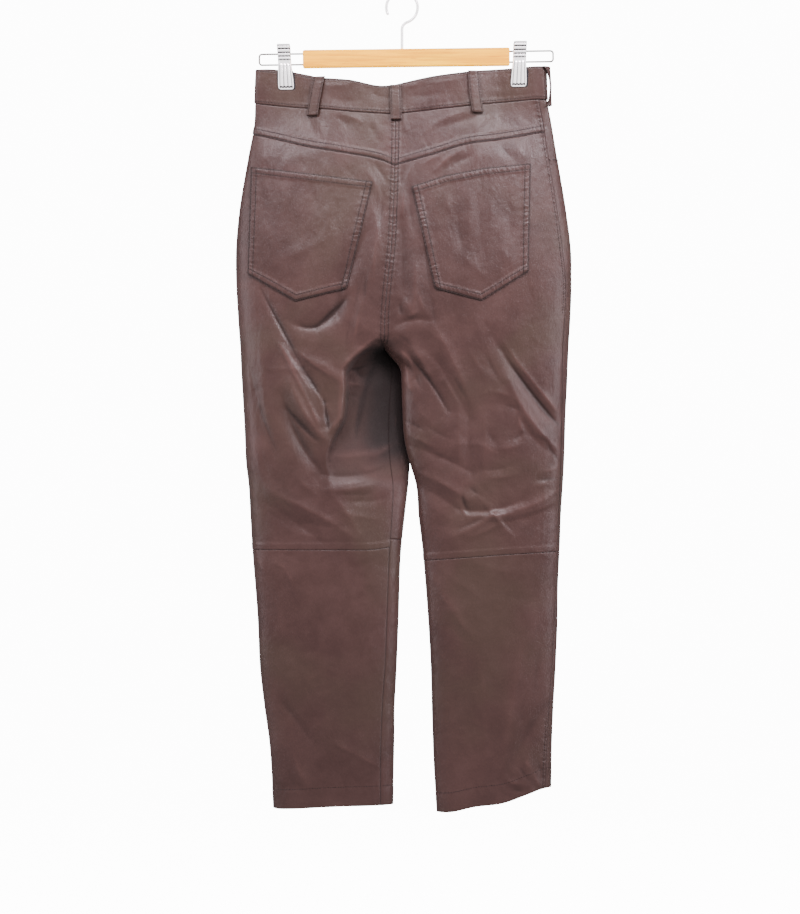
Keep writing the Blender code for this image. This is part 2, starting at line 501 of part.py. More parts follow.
def make_half(half):
    """The four panels, yoke and pocket side piece of one half. Gives the grids that carry patches."""
    lines = LINES[half]
    gap = SEAM_GAP / 2 + 0.00005
    edge = gap / 0.2
    back_s = columns(edge, 1 - edge, 13, 0.03)
    rows = np.linspace(0, 1, 31)[:, None]

    def between(s, upper, lower, share, step=0.0):
        high, low = lines(upper, s) - gap, lines(lower, s) + gap
        return blend(high, low, share) + step * share ** 6

    def front_rows(s):
        """The heights of the front panel's rows: above the yoke's level, then in step with the back."""
        rise = KNEE_STEP * np.clip(s[-len(rows):] - 1, 0, 1)
        upper = between(s[:-len(rows)], "band", "yoke", yoke_rows[:-1])
        return np.concatenate([upper, between(s[-len(rows):], "yoke", "knee", rows, rise)])

    yoke_rows = np.linspace(0, 1, 4)[:, None]
    add_panel(f"yoke_{half}", half, back_s, between(back_s, "band", "yoke", yoke_rows))
    _, back = add_panel(f"back_upper_{half}", half, back_s, between(back_s, "yoke", "knee", rows))

    count = len(yoke_rows) - 1 + len(rows)
    side_z = front_rows(np.ones((count, 1)))
    fallen = (side_z[0] - side_z) / MOUTH_DROP
    mouth = MOUTH_REACH * np.sqrt(np.clip(1 - fallen ** 2, 0, 1))
    last = int((mouth > 0).sum())
    mouth[last] = MOUTH_END
    front_s = columns(1 + edge + mouth, 2 - edge, 9, 0.05)
    _, front = add_panel(f"front_upper_{half}", half, front_s, front_rows(front_s))
    side_s = columns(1 + edge, 1 - edge + mouth, 6, 0.03)
    piece = slice(0, last + 1)
    add_panel(f"pocket_side_{half}", half, side_s[piece], front_rows(side_s)[piece])

    low_rows = np.linspace(0, 1, 13)[:, None]
    low_back_s, low_front_s = columns(edge, 1 - edge, 9, 0.04), columns(1 + edge, 2 - edge, 7, 0.06)
    low_rise = KNEE_STEP * np.clip(low_front_s - 1, 0, 1) * (1 - low_rows)
    add_panel(f"back_lower_{half}", half, low_back_s, between(low_back_s, "knee", "hem", low_rows))
    add_panel(f"front_lower_{half}", half, low_front_s,
              between(low_front_s, "knee", "hem", low_rows) + low_rise)
    return back, front


def make_waistband():
    gap = SEAM_GAP / 2 + 0.00005
    edge = gap / 0.2
    share = np.linspace(0, 1, 3)[:, None]

    def band(half, s):
        z = blend(LINES[half]("top", s), LINES[half]("band", s) + gap, share)
        points, normals = skin_and_normals(half, np.broadcast_to(s, z.shape), z)
        outer = points + normals * BAND_PROUD
        return outer, outer - normals * BAND

    left = band("left", columns(1 - edge, 0, 13, 0.03))
    right = band("right", columns(0, 1 - edge, 13, 0.03))
    outer, inner = (np.concatenate([a, b[:, 1:]], axis=1) for a, b in zip(left, right))
    add_wall("waistband_back", outer, inner)
    for half in LINES:
        add_wall(f"waistband_front_{half}", *band(half, columns(1 + edge, 2 - edge, 13, 0.04)))


def add_box(name, size, place, finish, round_edge=0.0):
    work = bmesh.new()
    bmesh.ops.create_cube(work, size=1)
    bmesh.ops.scale(work, vec=size, verts=work.verts)
    if round_edge:
        bmesh.ops.bevel(work, geom=work.edges[:], offset=round_edge, segments=2, affect="EDGES")
    made = object_from(name, work, finish)
    made.location = place
    return made


def add_wire(name, path, radius, sides=2):
    """A round wire along a path of points, closed at both ends."""
    curve = bpy.data.curves.new(name, "CURVE")
    curve.dimensions = "3D"
    curve.bevel_depth = radius
    curve.bevel_resolution = sides
    curve.use_fill_caps = True
    spline = curve.splines.new("POLY")
    spline.points.add(len(path) - 1)
    for point, place in zip(spline.points, path):
        point.co = (*place, 1)
    return add_object(name, curve, "steel")


def arc(centre, radius, start, end, count):
    """Points of an arc in the plane of X and Z."""
    angles = np.radians(np.linspace(start, end, count))
    return [(centre[0] + radius * math.cos(a), 0.0, centre[1] + radius * math.sin(a)) for a in angles]


def make_hook():
    """A stem that bends over into a round hook whose inside top is at the origin."""
    centre = HOOK_WIRE - HOOK_ROUND
    join = math.degrees(math.asin(HOOK_BEND / (HOOK_ROUND + HOOK_BEND)))
    drop = math.sqrt((HOOK_ROUND + HOOK_BEND) ** 2 - HOOK_BEND ** 2)
    foot = BAR_CENTRE[2] + BAR[2] / 2 + SEAM_GAP + 0.0002
    path = [(0, 0, foot), (0, 0, blend(foot, centre - drop, 0.5))]
    path += arc((HOOK_BEND, centre - drop), HOOK_BEND, 180, 90 + join, 6)
    path += arc((0, centre), HOOK_ROUND, join - 90, 205, 21)[1:]
    add_wire("hanger_hook", path, HOOK_WIRE)


def make_loops(hanger):
    """The wire loops at the bar's ends, which carry the clips."""
    start = BAR[0] / 2 + SEAM_GAP
    corner = 0.0035
    turn = LOOP_REACH - corner
    for name, side in (("left", -1), ("right", 1)):
        path = [(start, 0, LOOP_RISE)]
        path += arc((turn, LOOP_RISE - corner), corner, 90, 0, 5)
        path += arc((turn, corner - LOOP_RISE), corner, 0, -90, 5)
        path += [(start, 0, -LOOP_RISE)]
        wire = add_wire(f"hanger_loop_{name}", [(side * x, y, z) for x, y, z in path], LOOP_WIRE)
        wire.parent = hanger


# A clip's plate seen from its end: the middle of the plate, down from the finger end to the jaw.
CLIP_PROFILE = (
    # depth   height
    (0.0100, 0.0186),
    (0.0086, 0.0120),
    (0.0056, 0.0050),
    (0.0050, 0.0000),
    (0.0052, -0.0180),
    (0.0049, -0.0330),
    (0.0047, -0.0388),
)


def make_clip(name, place, hanger):
    """Two pressed plates, mirrored, with the spring's coil between them."""
    for plate, side in (("front", -1), ("rear", 1)):
        grids = []
        for shift in (CLIP_PLATE / 2, -CLIP_PLATE / 2):
            rows = []
            for depth, height in CLIP_PROFILE:
                share = (CLIP_PROFILE[0][1] - height) / (CLIP_PROFILE[0][1] - CLIP_PROFILE[-1][1])
                width = blend(*CLIP_WIDTH, share)
                rows.append([(x * width / 2, side * (depth + shift), height) for x in (-1, 0, 1)])
            grids.append(rows)
        made = add_wall(f"clip_{name}_{plate}", *grids, finish="steel")
        made.location.x = place
        made.parent = hanger
    work = bmesh.new()
    bmesh.ops.create_cone(work, cap_ends=True, segments=16, radius1=0.0038, radius2=0.0038, depth=0.0110)
    spring = object_from(f"clip_{name}_spring", work, "steel")
    spring.rotation_euler.y = math.pi / 2
    spring.location.x = place
    spring.parent = hanger


def make_hanger():
    hanger = bpy.data.objects.new("hanger", None)
    bpy.context.scene.collection.objects.link(hanger)
    hanger.location = BAR_CENTRE
    hanger.rotation_euler.y = -BAR_TILT
    bar = add_box("hanger_bar", BAR, (0, 0, 0), "wood", 0.002)
    bar.parent = hanger
    make_loops(hanger)
    for name, place in zip(("left", "right"), CLIP_PLACES):
        make_clip(name, place - BAR_CENTRE[0], hanger)
    make_hook()


def make_waist_button():
    """A plain metal button where the two ends of the waistband meet at the front."""
    points, normals = skin_and_normals("right", np.array([1.93]), np.array([-0.1465]))
    work = bmesh.new()
    bmesh.ops.create_cone(work, cap_ends=True, segments=20, radius1=0.0085, radius2=0.0072, depth=0.003)
    button = object_from("waist_button", work, "steel")
    button.rotation_euler = Vector(normals[0]).to_track_quat("Z", "Y").to_euler()
    button.location = points[0] + normals[0] * (BAND_PROUD + 0.0015 + 2 * LIFT)


def main():
    for old in list(bpy.data.objects):
        bpy.data.objects.remove(old)
    backs, fronts = {}, {}
    for half in LINES:
        backs[half], fronts[half] = make_half(half)
    make_waistband()
    add_patch("back_pocket_left", backs["left"], LEFT_POCKET, -1)
    add_patch("back_pocket_right", backs["right"], RIGHT_POCKET, -1)
    add_patch("fly", fronts["right"], FLY, 1)
    for name, loop in BELT_LOOPS.items():
        add_belt_loop(name, *loop)
    make_waist_button()
    make_hanger()


main()
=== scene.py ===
"""Leather trousers hung from a wooden clip hanger, finished around the loaded frame.

Metres, +Z up. The back of the garment faces -Y and +X is the wearer's right. Every piece of leather is a
thin wall over the form that its own pattern gives it, with its creases, seams and stitching on it.
"""

import functools
import math

import bmesh
import bpy
import numpy as np
from bpy.props import FloatProperty, FloatVectorProperty, PointerProperty
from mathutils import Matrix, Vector


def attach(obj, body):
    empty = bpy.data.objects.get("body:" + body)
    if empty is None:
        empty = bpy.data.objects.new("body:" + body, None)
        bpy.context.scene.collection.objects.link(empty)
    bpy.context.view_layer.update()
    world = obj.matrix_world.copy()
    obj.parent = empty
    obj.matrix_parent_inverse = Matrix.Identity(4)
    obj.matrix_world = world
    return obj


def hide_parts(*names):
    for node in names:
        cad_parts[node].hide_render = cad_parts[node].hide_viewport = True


bl_info = {
    "name": "Leather trousers on a clip hanger",
    "version": (1, 0, 0),
    "blender": (4, 5, 0),
    "location": "View3D > Sidebar > Trousers",
    "description": "Leather panels, stitching, hanger and a plain studio around the loaded frame",
    "category": "Object",
}

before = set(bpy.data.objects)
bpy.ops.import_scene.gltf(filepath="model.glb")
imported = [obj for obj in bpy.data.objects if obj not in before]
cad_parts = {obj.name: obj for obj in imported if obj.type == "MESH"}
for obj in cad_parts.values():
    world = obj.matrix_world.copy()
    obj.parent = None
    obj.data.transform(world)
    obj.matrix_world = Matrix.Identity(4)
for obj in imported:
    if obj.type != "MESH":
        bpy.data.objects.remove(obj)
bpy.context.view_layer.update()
BODY_NAME = "root"

LEATHER = 0.0015          # wall of one panel
BAND = 0.0025             # waistband, two layers
BAND_PROUD = 0.0005       # its face, out from that of the panels
POCKET = 0.0013           # patch pocket, fly and belt loops
SEAM_GAP = 0.0003         # between two pieces sewn edge to edge
LIFT = 0.0004             # between a panel and what lies on it

CREST = 1.20              # how a fold falls away to its sides: 2 is round, 1 is a sharp crease
EDGE = 0.75               # squareness of the flattened oval, 1 for a true ellipse
CROTCH_START = -0.436     # where the seat starts to round under
CROTCH = -0.456           # the crotch point, where the two legs part
LEG_START = -0.560        # where the outer side of each thigh has become a leg
STEP = 0.0012             # reach of the differences that give the surface its slope
KNEE_STEP = 0.010         # front knee seam above the back one at the inseam
MOUTH_REACH = 0.42        # the front pocket's mouth: its share of the front's width at the band
MOUTH_DROP = 0.078        # and how far down the side seam it ends
FACE_WIDTH = 0.2          # about how wide the cloth is where s goes up by 1

CLIP_PLACES = (-0.1491, 0.1508)
PINCH_DEPTH = 0.0028      # half depth of the cloth under a clip
PINCH_ACROSS = (0.020, 0.060)             # it fades between these distances to each side
PINCH_DOWN = (-0.215, -0.128)             # and between these heights

BAR = (0.2645, 0.0120, 0.0227)            # length, thickness and height
BAR_CENTRE = (0.0054, 0.0, -0.0828)
BAR_TILT = math.radians(0.7)
BAR_ROUND = 0.0022                        # radius of its edges
HOOK_WIRE = 0.0018                        # radius of the wire
HOOK_ROUND = 0.020                        # radius of the round, to the middle of the wire
HOOK_BEND = 0.010                         # radius of the bend between round and stem
LOOP_WIRE = 0.0011
LOOP_RISE = 0.0069                        # half height of the end loops
LOOP_REACH = 0.188                        # from the bar's middle to a loop's far end
CLIP_PLATE = 0.0012
TENTHS = 10000                            # tenths of a millimetre to the metre


def in_metres(*rows):
    """Rows of folds, given in tenths of a millimetre. Seven sizes have one reach for both sides."""
    full = (row if len(row) == 8 else (*row[:6], *row[5:]) for row in rows)
    return tuple(tuple(size / TENTHS for size in row) for row in full)


class Table:
    """Rows of sizes under named columns, so many to the metre, read smoothly between rows by the first
    column."""

    def __init__(self, columns, to_metre, *rows):
        self.columns = columns.split()
        self.rows = np.array(sorted(rows)) / to_metre
        self.slopes = np.gradient(self.rows, self.rows[:, 0], axis=0)

    def __call__(self, column, where):
        keys, index = self.rows[:, 0], self.columns.index(column)
        where = np.clip(where, keys[0], keys[-1])
        low = np.clip(np.searchsorted(keys, where) - 1, 0, len(keys) - 2)
        span = keys[low + 1] - keys[low]
        t = (where - keys[low]) / span
        start, end = self.rows[low, index], self.rows[low + 1, index]
        leave, arrive = self.slopes[low, index] * span, self.slopes[low + 1, index] * span
        return (start * (1 + 2 * t) * (1 - t) ** 2 + leave * t * (1 - t) ** 2
                + end * t * t * (3 - 2 * t) - arrive * t * t * (1 - t))


# The hips, from waist to crotch, in tenths of a millimetre: the two outer edges, the half depths, the
# two middle seams and how far each side seam lies from its edge (the right one shows at the back, the
# left one at the front).
BODY = Table(
    "z left right back front seam_back seam_front side_left side_right", TENTHS,
    (-900, -1869, 1850, 100, 100, -83, 40, 120, 120),
    (-1350, -1882, 1862, 130, 130, -83, 40, 120, 120),
    (-1650, -1890, 1914, 170, 160, -83, 40, 120, 120),
    (-2110, -1971, 1990, 240, 220, -90, 30, 120, 125),
    (-2810, -2086, 2107, 320, 280, -112, 0, 120, 128),
    (-3270, -2125, 2163, 360, 310, -135, -40, 120, 124),
    (-3670, -2125, 2172, 380, 320, -178, -100, 120, 90),
    (-4160, -2099, 2157, 370, 320, -218, -190, 120, 83),
    (-4560, -2070, 2132, 350, 310, -222, -222, 120, 83),
)

# Each leg, from crotch to hem, in the same unit: outer and inner edges, half depths, how far the side
# seam and the inseam lie from those edges, and the leg's shift to the front, because the thighs press
# past each other.
LEFT_LEG = Table(
    "z outer inner back front side inseam shift", TENTHS,
    (-4160, -2099, -185, 370, 320, 120, 0, 0),
    (-4560, -2070, -211, 340, 310, 120, 10, 40),
    (-4640, -2064, -120, 330, 310, 120, 60, 60),
    (-4780, -2054, -5, 320, 300, 120, 130, 70),
    (-5000, -2042, 38, 310, 300, 120, 180, 70),
    (-5240, -2031, 50, 300, 290, 120, 210, 70),
    (-5720, -2010, 80, 290, 280, 120, 250, 70),
    (-6010, -1997, 100, 280, 270, 120, 250, 60),
    (-6280, -1965, 83, 270, 260, 120, 200, 40),
    (-6680, -1942, 38, 260, 250, 120, 165, 20),
    (-7060, -1920, -4, 250, 240, 120, 150, 0),
    (-8020, -1848, -42, 220, 220, 120, 150, 0),
    (-8640, -1818, -67, 210, 210, 120, 150, 0),
    (-9160, -1757, -92, 200, 200, 120, 160, 0),
    (-9500, -1709, -96, 200, 200, 120, 170, 0),
    (-10460, -1645, -115, 190, 200, 120, 160, 0),
)
RIGHT_LEG = Table(
    "z outer inner back front side inseam shift", TENTHS,
    (-4160, 2157, -225, 370, 320, 83, 0, 0),
    (-4560, 2132, -226, 340, 310, 83, 10, -40),
    (-4640, 2128, -160, 330, 310, 82, 20, -70),
    (-4780, 2118, -40, 320, 300, 80, 40, -60),
    (-5000, 2110, -8, 310, 300, 68, 60, -70),
    (-5240, 2099, 0, 300, 290, 58, 80, -70),
    (-5720, 2086, 32, 290, 280, 54, 110, -70),
    (-6010, 2076, 98, 280, 270, 50, 120, -60),
    (-6280, 2061, 177, 270, 260, 45, 120, -40),
    (-6680, 2035, 211, 260, 250, 35, 120, -20),
    (-7060, 2022, 256, 250, 240, 30, 120, 0),
    (-7600, 1997, 303, 230, 230, 25, 120, 0),
    (-8020, 1992, 333, 220, 220, 46, 120, 0),
    (-8600, 1969, 366, 210, 210, 56, 120, 0),
    (-9140, 1938, 380, 200, 200, 62, 120, 0),
    (-9900, 1914, 407, 190, 200, 83, 120, 0),
    (-10500, 1901, 446, 190, 200, 90, 120, 0),
)

# The hollow under the seat: the left thigh falls away behind the seat's hanging edge.
HOLLOW = Table(
    "z rim depth", TENTHS,
    (-4440, -380, 0),
    (-4510, -410, 40),
    (-4570, -486, 120),
    (-4670, -614, 180),
    (-4800, -717, 210),
    (-5100, -742, 220),
    (-5460, -781, 200),
    (-5690, -896, 160),
    (-5970, -973, 70),
    (-6290, -922, 10),
    (-6500, -910, 0),
)
HOLLOW_EDGE = 0.009                       # how far across its edge falls
HOLLOW_FULL = 0.012                       # where it is this deep, its painted shade is as dark as it gets
HOLLOW_DARKENS = (-0.066, -0.020)         # its painted shade darkens across, between these places
HOLLOW_FADES = (0.008, 0.020)             # and clears towards the front, between these
SEAM_TUCK = 0.0007                        # how far the left panel goes under the seam at the crotch
TUCK_TOP, TUCK_FOOT = (-0.443, -0.447), (-0.456, -0.461)    # where the tuck grows and where it ends

# The heights in metres of the lines across each half. s is 0 at the back's middle seam and inseam, 1 at
# the side seam and 2 at the front's middle seam, where the inseam comes round again.
LEFT_LINES = Table(
    "s top band yoke knee hem", 1,
    (0.00, -0.1184, -0.1564, -0.2230, -0.7081, -1.0377),
    (0.08, -0.1199, -0.1556, -0.2165, -0.7105, -1.0379),
    (0.30, -0.1122, -0.1526, -0.2070, -0.7113, -1.0385),
    (0.50, -0.1089, -0.1487, -0.1999, -0.7113, -1.0400),
    (0.70, -0.1025, -0.1458, -0.1905, -0.7113, -1.0420),
    (0.84, -0.0994, -0.1430, -0.1842, -0.7113, -1.0425),
    (1.00, -0.0969, -0.1404, -0.1788, -0.7113, -1.0377),
    (1.30, -0.1040, -0.1440, -0.1880, -0.7113, -1.0370),
    (1.70, -0.1210, -0.1570, -0.2120, -0.7100, -1.0370),
    (2.00, -0.1270, -0.1640, -0.2230, -0.7081, -1.0377),
)
RIGHT_LINES = Table(
    "s top band yoke knee hem", 1,
    (0.00, -0.1184, -0.1564, -0.2230, -0.7266, -1.0466),
    (0.10, -0.1140, -0.1540, -0.2170, -0.7255, -1.0470),
    (0.25, -0.1080, -0.1505, -0.2085, -0.7235, -1.0466),
    (0.44, -0.1030, -0.1466, -0.1967, -0.7205, -1.0395),
    (0.68, -0.0985, -0.1412, -0.1890, -0.7170, -1.0340),
    (0.86, -0.0958, -0.1380, -0.1830, -0.7151, -1.0235),
    (1.00, -0.0936, -0.1359, -0.1788, -0.7138, -1.0159),
    (1.30, -0.1010, -0.1420, -0.1880, -0.7170, -1.0250),
    (1.70, -0.1200, -0.1570, -0.2120, -0.7230, -1.0420),
    (2.00, -0.1270, -0.1640, -0.2230, -0.7266, -1.0466),
)

# The folds of each face, a row for each: its two ends, the bow of the line between them, its reach to
# the right or upper side and to the left or lower one, and its height, which is negative for a trough.
BACK_FOLDS = in_metres(
    # x0, z0, x1, z1, bow, right, left, height
    (-397, -2710, -282, -3439, -38, 90, 140, 24),
    (-640, -3439, -819, -4130, 38, 70, 100, -36),
    (-461, -3106, -640, -3670, 26, 80, -20),
    (-384, -3439, -512, -4310, 13, 70, 18),
    (0, -2927, 26, -3926, 0, 70, 90, -32),
    (154, -3439, 128, -4156, -26, 80, 70, 29),
    (-51, -4258, 358, -4207, -38, 60, 70, -29),
    (26, -3926, 128, -4130, 0, 70, 21),
    (-1792, -3798, -1306, -4694, 13, 120, 60, -18),
    (-1306, -4694, -973, -5231, 0, 110, 50, -24),
    (-691, -3887, -1075, -4297, -51, 80, 60, -40),
    (-1075, -4297, -1459, -4194, -38, 60, 80, -16),
    (-1229, -4668, -768, -4950, -26, 70, 90, 21),
    (-1408, -5001, -973, -5718, 51, 100, 90, 48),
    (-1510, -5180, -1050, -6102, 64, 80, 100, -60),
    (-1024, -6153, -282, -6102, 51, 80, 100, -30),
    (-896, -5930, -154, -5800, 38, 90, 80, 26),
    (-717, -4847, -781, -5513, 0, 60, 80, 28),
    (-333, -4514, -691, -4719, -38, 70, 80, 24),
    (-1920, -4847, -1613, -5922, 64, 80, 90, -24),
    (-1792, -4310, -1715, -5590, 26, 120, 19),
    (-1690, -6383, -589, -6972, -38, 90, 26),
    (-922, -6383, -538, -6921, -26, 90, 80, 21),
    (-1792, -6486, -922, -7100, -26, 120, -24),
    (-947, -6358, -358, -6281, 26, 70, 18),
    (-717, -6486, -230, -6460, 26, 80, -19),
    (-77, -4335, 435, -5129, -64, 80, 90, 34),
    (26, -4591, 589, -5359, -38, 90, -29),
    (333, -4156, 896, -5334, -38, 90, 120, 26),
    (384, -4591, 870, -5462, 0, 80, -21),
    (1152, -4412, 2022, -5590, 51, 140, 70, -35),
    (1357, -4950, 2048, -5871, 90, 80, 90, 37),
    (1408, -5180, 1869, -5871, 77, 80, 120, -26),
    (857, -5282, 909, -6280, 26, 90, -28),
    (717, -5334, 730, -6178, 0, 70, 21),
    (1050, -5462, 1037, -6306, 0, 70, 19),
    (102, -5794, 870, -6127, -26, 70, 80, -27),
    (154, -6102, 845, -6486, -26, 80, 27),
    (154, -6281, 768, -6639, -26, 80, -21),
    (1178, -5820, 1562, -5743, 38, 120, 100, 21),
    (845, -6690, 2022, -6332, 115, 90, 100, 37),
    (691, -6588, 1510, -6486, 77, 80, 90, -37),
    (1050, -6767, 1920, -6562, 64, 80, 100, -24),
    (973, -6460, 1408, -6946, 0, 70, 22),
    (640, -6946, 1178, -6665, 26, 80, 22),
    (1690, -6306, 2022, -6153, 26, 90, 26),
    (2022, -5718, 1971, -6230, 0, 90, 21),
    (1562, -8278, 1293, -10018, 38, 120, 150, 26),
    (1869, -9046, 1357, -9942, 38, 120, 80, -37),
    (1638, -9558, 1536, -10198, 0, 90, 24),
    (-1626, -8918, -1101, -9583, -26, 100, 120, -18),
    (-1434, -9686, -1178, -10198, 0, 100, 16),
    (486, -7574, 870, -8175, 0, 100, 18),
    (-1869, -7151, -1766, -7407, 0, 60, 13),
)
FRONT_FOLDS = in_metres(
    (0, -3100, -200, -4300, 20, 140, -40),
    (-300, -4200, -1000, -4700, 60, 130, -45),
    (-350, -4600, -1100, -5400, 60, 140, 40),
    (250, -4150, 950, -4600, -60, 130, -45),
    (350, -4700, 1100, -5300, -60, 140, 40),
    (-1700, -5600, -900, -6700, 40, 140, -40),
    (1750, -5400, 1000, -6400, 40, 140, -40),
    (-1500, -6900, -500, -6750, 40, 120, -40),
    (600, -6850, 1600, -7000, 40, 120, -40),
    (-1300, -8200, -800, -9800, 40, 140, 30),
    (1500, -8300, 1000, -9700, 40, 140, 30),
)

# Corners of the patch pockets as they lie on the back, round from the mouth's outer or inner end.
LEFT_POCKET = ((-0.1920, -0.2236), (-0.0371, -0.2441), (-0.0698, -0.3798), (-0.1349, -0.3956),
               (-0.1958, -0.3606))
RIGHT_POCKET = ((0.0122, -0.2505), (0.0540, -0.2365), (0.1062, -0.2262), (0.1638, -0.2198),
                (0.1600, -0.3580), (0.1006, -0.3951), (0.0416, -0.3798))
FLY = ((0.0060, -0.1680), (0.0400, -0.1665), (0.0380, -0.2900), (0.0290, -0.3180), (0.0100, -0.3330),
       (0.0000, -0.3330))

# Belt loops: half, place across at the top and at the foot, how far above the band's top and below its
# seam each reaches, and how far its middle stands clear of the leather.
BELT_LOOPS = {
    "belt_loop_back_left": ("left", 0.498, 0.535, 0.001, 0.0100, 0.0030),
    "belt_loop_back_centre": ("right", 0.000, 0.005, -0.001, 0.0080, 0.0030),
    "belt_loop_back_right": ("right", 0.545, 0.560, 0.000, 0.0105, 0.0030),
    "belt_loop_front_left": ("left", 1.500, 1.510, 0.001, 0.0100, 0.0030),
    "belt_loop_front_right": ("right", 1.066, 1.070, 0.000, 0.0085, 0.0062),
}
LOOP_WIDTH = 0.0148
LOOP_LENGTH = 0.052
LOOP_STAND = 0.0007                       # clear of the leather at a loop's ends
LOOP_ROUND = (0.0005, 0.0012)             # how far its face falls to its edges, and how near them
LOOP_ROW = (0.0004, 0.0022, 0.0007)       # its row of stitches: how deep, how far in and how wide
LOOP_ENDS = (0.0007, 0.0035)              # how much its folded ends are raised, and how far along
LOOP_FREE = 0.006                         # a loop this far clear hangs straight across

LEGS = {"left": LEFT_LEG, "right": RIGHT_LEG}
LINES = {"left": LEFT_LINES, "right": RIGHT_LINES}


def blend(low, high, share):
    """What lies a share of the way from low to high."""
    return low + (high - low) * share


def unit(directions):
    """Directions, each made one long."""
    return directions / np.linalg.norm(directions, axis=-1, keepdims=True)


def smooth(low, high, value):
    """0 at low, 1 at high and a soft ramp between."""
    t = np.clip((value - low) / (high - low), 0, 1)
    return t * t * (3 - 2 * t)


def edge_angle(half_width, inset):
    """The angle from an oval's edge to the place that lies an inset in from it."""
    return np.arccos(np.clip(1 - inset / half_width, -1, 1) ** (1 / EDGE))


def face_angle(centre, half_width, x):
    """The angle, from the right edge, of the place at x on an oval's face."""
    cos = np.clip((x - centre) / half_width, -1, 1)
    return np.arccos(np.sign(cos) * np.abs(cos) ** (1 / EDGE))


def oval(centre, half_width, back, front, angle):
    """A flattened oval: angle 0 is its right edge, a quarter turn its back and a half its left."""
    cos, sin = np.cos(angle), np.sin(angle)
    x = centre + half_width * np.sign(cos) * np.abs(cos) ** EDGE
    return x, -np.where(sin > 0, back, front) * sin


def oval_share(sizes, turns, s):
    """The place at s on an oval whose three seams, s 0, 1 and 2, lie at three angles."""
    start = np.where(s <= 1, turns[0], turns[1])
    end = np.where(s <= 1, turns[1], turns[2])
    share = np.where(s <= 1, s, s - 1)
    angles = start[:, None] + (end - start)[:, None] * np.linspace(0, 1, 49)
    x, y = oval(*(size[:, None] for size in sizes), angles)
    steps = np.hypot(np.diff(x, axis=1), np.diff(y, axis=1))
    run = np.concatenate([np.zeros((len(s), 1)), np.cumsum(steps, axis=1)], axis=1)
    want = share * run[:, -1]
    high = np.clip((run < want[:, None]).sum(axis=1), 1, run.shape[1] - 1)
    rows = np.arange(len(s))
    t = (want - run[rows, high - 1]) / (run[rows, high] - run[rows, high - 1])
    return blend(x[rows, high - 1], x[rows, high], t), blend(y[rows, high - 1], y[rows, high], t)


def hip_section(half, s, z):
    """The place at s round one half of the hips, across and front to back."""
    left, right = BODY("left", z), BODY("right", z)
    sizes = ((left + right) / 2, (right - left) / 2, BODY("back", z), BODY("front", z))
    back = face_angle(sizes[0], sizes[1], BODY("seam_back", z))
    front = 2 * math.pi - face_angle(sizes[0], sizes[1], BODY("seam_front", z))
    if half == "left":
        return oval_share(sizes, (back, math.pi + edge_angle(sizes[1], BODY("side_left", z)), front), s)
    side = edge_angle(sizes[1], BODY("side_right", z))
    return oval_share(sizes, (back, side, front - 2 * math.pi), s)


def leg_section(half, s, z):
    """The place at s round a leg, across and front to back."""
    leg = LEGS[half]
    outer, inner = leg("outer", z), leg("inner", z)
    sizes = ((outer + inner) / 2, np.abs(outer - inner) / 2, leg("back", z), leg("front", z))
    inseam = edge_angle(sizes[1], leg("inseam", z))
    side = edge_angle(sizes[1], leg("side", z))
    turns = (inseam, math.pi + side, inseam + 2 * math.pi)
    if half == "right":
        turns = (math.pi + inseam, side, inseam - math.pi)
    x, y = oval_share(sizes, turns, s)
    near = 1 - smooth(0.0, 0.42, 1 - np.abs(s - 1))
    return x, y + leg("shift", z) * near


def relief(rows, x, z):
    """The height that a face's folds add at each place."""
    total = np.zeros_like(x)
    for x0, z0, x1, z1, bow, right, left, height in rows:
        room = abs(bow) + 4.5 * max(right, left)
        near = np.flatnonzero((np.abs(x - (x0 + x1) / 2) < abs(x1 - x0) / 2 + room)
                              & (np.abs(z - (z0 + z1) / 2) < abs(z1 - z0) / 2 + room))
        u, v = x[near] - x0, z[near] - z0
        length = math.hypot(x1 - x0, z1 - z0)
        along = (u * (x1 - x0) + v * (z1 - z0)) / length ** 2
        t = np.clip(along, 0, 1)
        across = (u * (z1 - z0) - v * (x1 - x0)) / length - bow * 4 * t * (1 - t)
        beyond = (along - t) * length
        fade = 0.45 + 0.55 * np.sin(math.pi * t)
        away = np.hypot(across, beyond) / np.where(across < 0, right, left)
        total[near] += height * fade * np.exp(-away ** CREST)
    return total


def skin(half, s, z):
    """The outer face of the leather at s round a half and height z, as points."""
    shape = np.broadcast(s, z).shape
    s, z = (np.broadcast_to(value, shape).ravel().astype(float) for value in (s, z))
    away = smooth(0.0, 0.45, 1 - np.abs(s - 1))
    start, end = CROTCH_START + 0.050 * away, blend(CROTCH, LEG_START, away)
    under = np.clip((start - z) / (start - end), 0, 1)
    round_off = 1 - np.sqrt(1 - under ** 2)
    closing = blend(round_off, smooth(0, 1, under), smooth(0.0, 0.35, away))
    hip, leg = hip_section(half, s, z), leg_section(half, s, z)
    leg_back, leg_front = LEGS[half]("back", z), LEGS[half]("front", z)
    x, y = blend(hip[0], leg[0], closing), blend(hip[1], leg[1], closing)
    for place in CLIP_PLACES:
        pinch = smooth(*PINCH_DOWN, z) * (1 - smooth(*PINCH_ACROSS, np.abs(x - place)))
        y = blend(y, np.clip(y, -PINCH_DEPTH, PINCH_DEPTH), pinch)
    facing = smooth(0.0, 0.8, np.abs(y) / BODY("back", z))
    if half == "left":
        fallen = smooth(0.0, HOLLOW_EDGE, x - HOLLOW("rim", z)) * HOLLOW("depth", z)
        y = y + fallen * np.clip((leg_front - y) / (leg_front + leg_back), 0, 1)
        tuck = smooth(*TUCK_TOP, z) * (1 - smooth(*TUCK_FOOT, z)) * (1 - smooth(0.0, 0.03, s))
        x = x + SEAM_TUCK * tuck
    y = y - facing * np.where(y < 0, relief(BACK_FOLDS, x, z), -relief(FRONT_FOLDS, x, z))
    return np.stack([x, y, z], axis=-1).reshape(*shape, 3)


